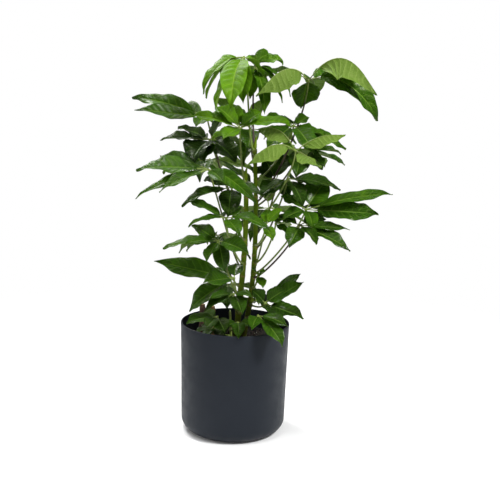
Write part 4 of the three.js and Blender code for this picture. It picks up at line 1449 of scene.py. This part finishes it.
def add_rib(shape, sections, width, length, age, blush):
    """The leaflet's own stalk, which swells where the blade begins and thins out under it as the midrib."""
    shares = np.concatenate([np.linspace(0, LEAF_STALK_SHARE, 7), np.linspace(0.2, 0.93, 12)])
    centre, _, beside, over = sections(shares)
    thick = min(1.0, 0.45 + width / 80)
    swell = 0.5 * bell(shares, 0.03) + 0.35 * bell(shares - 0.15, 0.03)
    radii = thick * (1.15 + swell) * (1 - 0.8 * smooth(shares, LEAF_STALK_SHARE, 0.95))
    sink = (LEAF_THICKNESS / 2 + 0.45 * radii) * smooth(shares, 0.1, 0.2)
    under_blade = (shares - LEAF_STALK_SHARE) / (1 - LEAF_STALK_SHARE)
    droop = TIP_DROOP * length * smooth(under_blade, 0.8, 1.0) ** 2
    path = centre - over * (sink + droop)[:, None]
    rings = path[:, None] + spokes(beside, over, RIB_SIDES) * radii[:, None, None]
    fade = blush * 0.6 * smooth(shares, 0.18, 0.0)
    shape.skin(rings, finish=STALK, age=age, blush=fade[:, None])


print("rib:", RIB_SIDES, "sides")

# %% [markdown]
# ## One leaflet
#
# The blade and the rib follow one curve, which arches from the hub to the leaflet's tip as in the plain
# model. Both ask it for points at some shares of its length, with the ways along, across and over the leaflet
# there. A little chance in turn, twist and sway is a part of that answer, so a blade never leaves its rib.

# %% Hang a leaflet
PLAIN_HANG = (0, 0.32)  # turn of a leaflet and slope of its halves, where its row names neither
LEAF_TILT = 0.12  # most that a leaflet turns about its rib by chance, in radians
LEAF_TWIST = 0.22  # most that it twists on its way to the tip
LEAF_SWAY = 0.018  # most that its rib bends sideways, as a share of its length


def turned(vectors, axes, angles):
    """Vectors turned about unit axes."""
    sine, cosine = np.sin(angles)[:, None], np.cos(angles)[:, None]
    along_axis = np.sum(vectors * axes, axis=1, keepdims=True)
    return vectors * cosine + np.cross(axes, vectors) * sine + axes * along_axis * (1 - cosine)


def add_leaflet(shape, hub, axis, leaflet, seed, age, blush):
    """A blade and its rib, on one curve that arches from the hub to the leaflet's tip."""
    across_reach, away, up, width, arch, turn, fold = (*leaflet, *PLAIN_HANG[len(leaflet) - 5 :])
    turn = math.radians(turn)
    reach = np.array([across_reach, away, up], float)
    length = np.linalg.norm(reach)
    rise = reach @ axis
    outward = reach - rise * axis
    level = np.linalg.norm(outward)
    sideways = np.cross(axis, outward / level)
    crest = hub + outward / 2 + axis * (rise / 2 + arch * length)

    def sections(shares):
        """The curve's points, and its ways along, across and over the leaflet there."""
        centre, along = course((hub, crest, hub + reach), shares)
        angle = turn * np.minimum(1, shares / LEAF_STALK_SHARE) + LEAF_TILT * draw(seed + 3)
        angle = angle + LEAF_TWIST * draw(seed + 5) * np.maximum(0, shares - LEAF_STALK_SHARE)
        beside = turned(np.tile(sideways, (len(shares), 1)), along, angle)
        over = turned(np.cross(along, sideways), along, angle)
        sway = LEAF_SWAY * length * draw(seed + 6) * np.sin(np.pi * shares) ** 2
        return centre + beside * sway[:, None], along, beside, over

    add_blade(shape, sections, length, width, fold, seed, age)
    add_rib(shape, sections, width, length, age, blush)


print("leaflet: helper ready")

# %% [markdown]
# ## Whole fronds
#
# A frond is one long stalk, clasping the stem with a widened foot, and a knob at its far end from which all
# its leaflets spread like the ribs of an umbrella. The stalk is a curve through four points: it leaves the
# stem level, turns up, and swings to the way its hub faces. Every leaflet gets its own small shift in age, so
# that no two neighbours have quite the same green.

# %% Grow the fronds
STALK_RADIUS = 2.1
STALK_RINGS = 40
STALK_SIDES = 14
STALK_FOOT = 2.6  # how much wider the stalk is where it clasps the stem
HUB_SWELL = 1.7  # and at the hub
STALK_LEAVES_LEVEL = 14  # the stalk leaves its stem level, and turns up over this length
STALK_TURN_SHARE = 0.2  # or over this share of a short stalk's length
STALK_RISE_SHARE = 0.35  # share of its length over which it swings to the way its hub faces
HUB_HEIGHT = 2.5
SUNK_IN_STEM = 2.5
AGE_SHIFT = 0.13  # most that a leaflet differs in age from its frond
YOUNG = 0.5  # fronds over this age are counted as young


def add_stalk(shape, start, outward, hub, axis, age, blush, foot):
    """The long stalk of a frond, from the stem to the hub that its leaflets spread from."""
    length = np.linalg.norm(hub - start)
    leave = start + outward * min(STALK_LEAVES_LEVEL, STALK_TURN_SHARE * length)
    rise = hub - axis * STALK_RISE_SHARE * length
    controls = (start - outward * SUNK_IN_STEM, leave, rise, hub + axis * HUB_HEIGHT)
    shares = crowded(np.linspace(0, 1, STALK_RINGS), 0.5)
    path, way = course(controls, shares)
    from_foot = shares * length
    from_hub = length - from_foot
    radii = STALK_RADIUS + foot * bell(from_foot, 8) + HUB_SWELL * bell(from_hub, 4.5)
    radii = radii * (0.86 + 0.14 * smooth(shares, 1, 0.3))
    radii[-1] = radii[-1] * 0.6
    aside = np.cross((0, 0, 1.0), outward)
    flush = blush * (1 - 0.55 * smooth(shares, 0.7, 1)) + 0.35 * bell(from_foot, 6)
    rings = tube(path, way, aside, radii, STALK_SIDES)
    shape.skin(rings, finish=STALK, tip=path[-1] + axis * 1.0, age=age, blush=flush[:, None])


def grow_frond(shape, start, outward, frond, seed, age, blush, foot=STALK_FOOT):
    hub = np.array(frond["hub"], float)
    axis = unit(np.array(frond["faces"], float))
    add_stalk(shape, start, outward, hub, axis, age, blush, foot)
    for place, leaflet in enumerate(frond["leaflets"]):
        own_seed = seed + 7 * place
        own_age = min(1, max(0, age + AGE_SHIFT * draw(own_seed + 9)))
        add_leaflet(shape, hub, axis, leaflet, own_seed, own_age, blush)


for index, frond in enumerate(FRONDS):
    shape = Shape("age", "blush")
    start, outward = frond_foot(frond)
    grow_frond(shape, start, outward, frond, 31 * index + 1, frond["age"], frond["blush"])
    name = frond["name"].replace("frond", "leaves")
    slot = "young_leaf" if frond["age"] > YOUNG else "leaf"
    shape.build(name, frond_finishes, slot, frond["name"], crease=80)
print("fronds:", len(FRONDS), "grown")

# %% [markdown]
# ## The young shoot
#
# Low in the pot a thin new shoot carries three small fronds of its own. It uses the very same leaf and stalk
# as the big fronds, only on a thinner stem, so it is one more loop and no new form.

# %% Grow the shoot
SHOOT = dict(
    course=((-6, -36, 172), (-8, -38, 215), (-12, -42, 288)),
    radius=3.2,
    fronds=[
        dict(
            joint=(-11, -41, 262), hub=(-40, -72, 283), faces=(-0.2, -0.6, 1),
            leaflets=[
                (-68, -20, -8, 34, 0.1), (20, -38, -24, 38, 0.15), (-22, -40, -14, 34, 0.15),
                (-35, 30, 0, 30, 0.1),
            ],
        ),
        dict(
            joint=(-9, -39, 232), hub=(-46, -48, 250), faces=(-0.4, -0.3, 1),
            leaflets=[
                (-42, -14, -8, 28, 0.15), (-18, -46, -8, 30, 0.2), (-28, 30, 0, 26, 0.15),
                (26, -38, -6, 28, 0.25),
            ],
        ),
        dict(
            joint=(-10, -40, 246), hub=(6, -76, 272), faces=(0.1, -0.5, 1),
            leaflets=[(36, -14, -4, 30, 0.15), (2, -54, -20, 30, 0.4), (-34, -20, -4, 28, 0.15)],
        ),
    ],
)
# painted shade: a low age, so that the young shoot's leaflets are painted dark for the shade deep in the pot
SHOOT_AGE_FOR_SHADE = 0.2
SHOOT_BLUSH = 0.15
SHOOT_FOOT = 1.2  # how much wider its leaf stalks are where they clasp it


def grow_shoot():
    shape = Shape("age", "blush")
    shares = np.linspace(0, 1, STALK_RINGS)
    first, middle, last = (np.array(point, float) for point in SHOOT["course"])
    path, way = course((first, 2 * middle - (first + last) / 2, last), shares)
    joints = np.array([frond["joint"][2] for frond in SHOOT["fronds"]])
    swell = bell(path[:, 2][:, None] - joints[None], 3).sum(axis=1)
    radii = SHOOT["radius"] * (1 - 0.25 * shares) + 0.7 * swell
    rings = tube(path, way, ACROSS, radii, 18)
    blush = 0.35 + 0.25 * swell[:, None]
    shape.skin(rings, finish=STALK, tip=last + np.array([0, -1, 6.0]), age=0.5, blush=blush)
    for index, frond in enumerate(SHOOT["fronds"]):
        start = np.array(frond["joint"], float)
        outward = np.array(frond["hub"], float) - start
        outward[2] = 0
        seed = 1000 + 31 * index
        grow_frond(shape, start, unit(outward), frond, seed, SHOOT_AGE_FOR_SHADE, SHOOT_BLUSH, SHOOT_FOOT)
    return shape


grow_shoot().build("young_shoot_leaves", frond_finishes, "leaf", "young_shoot", crease=80)
print("shoot:", len(SHOOT["fronds"]), "small fronds")
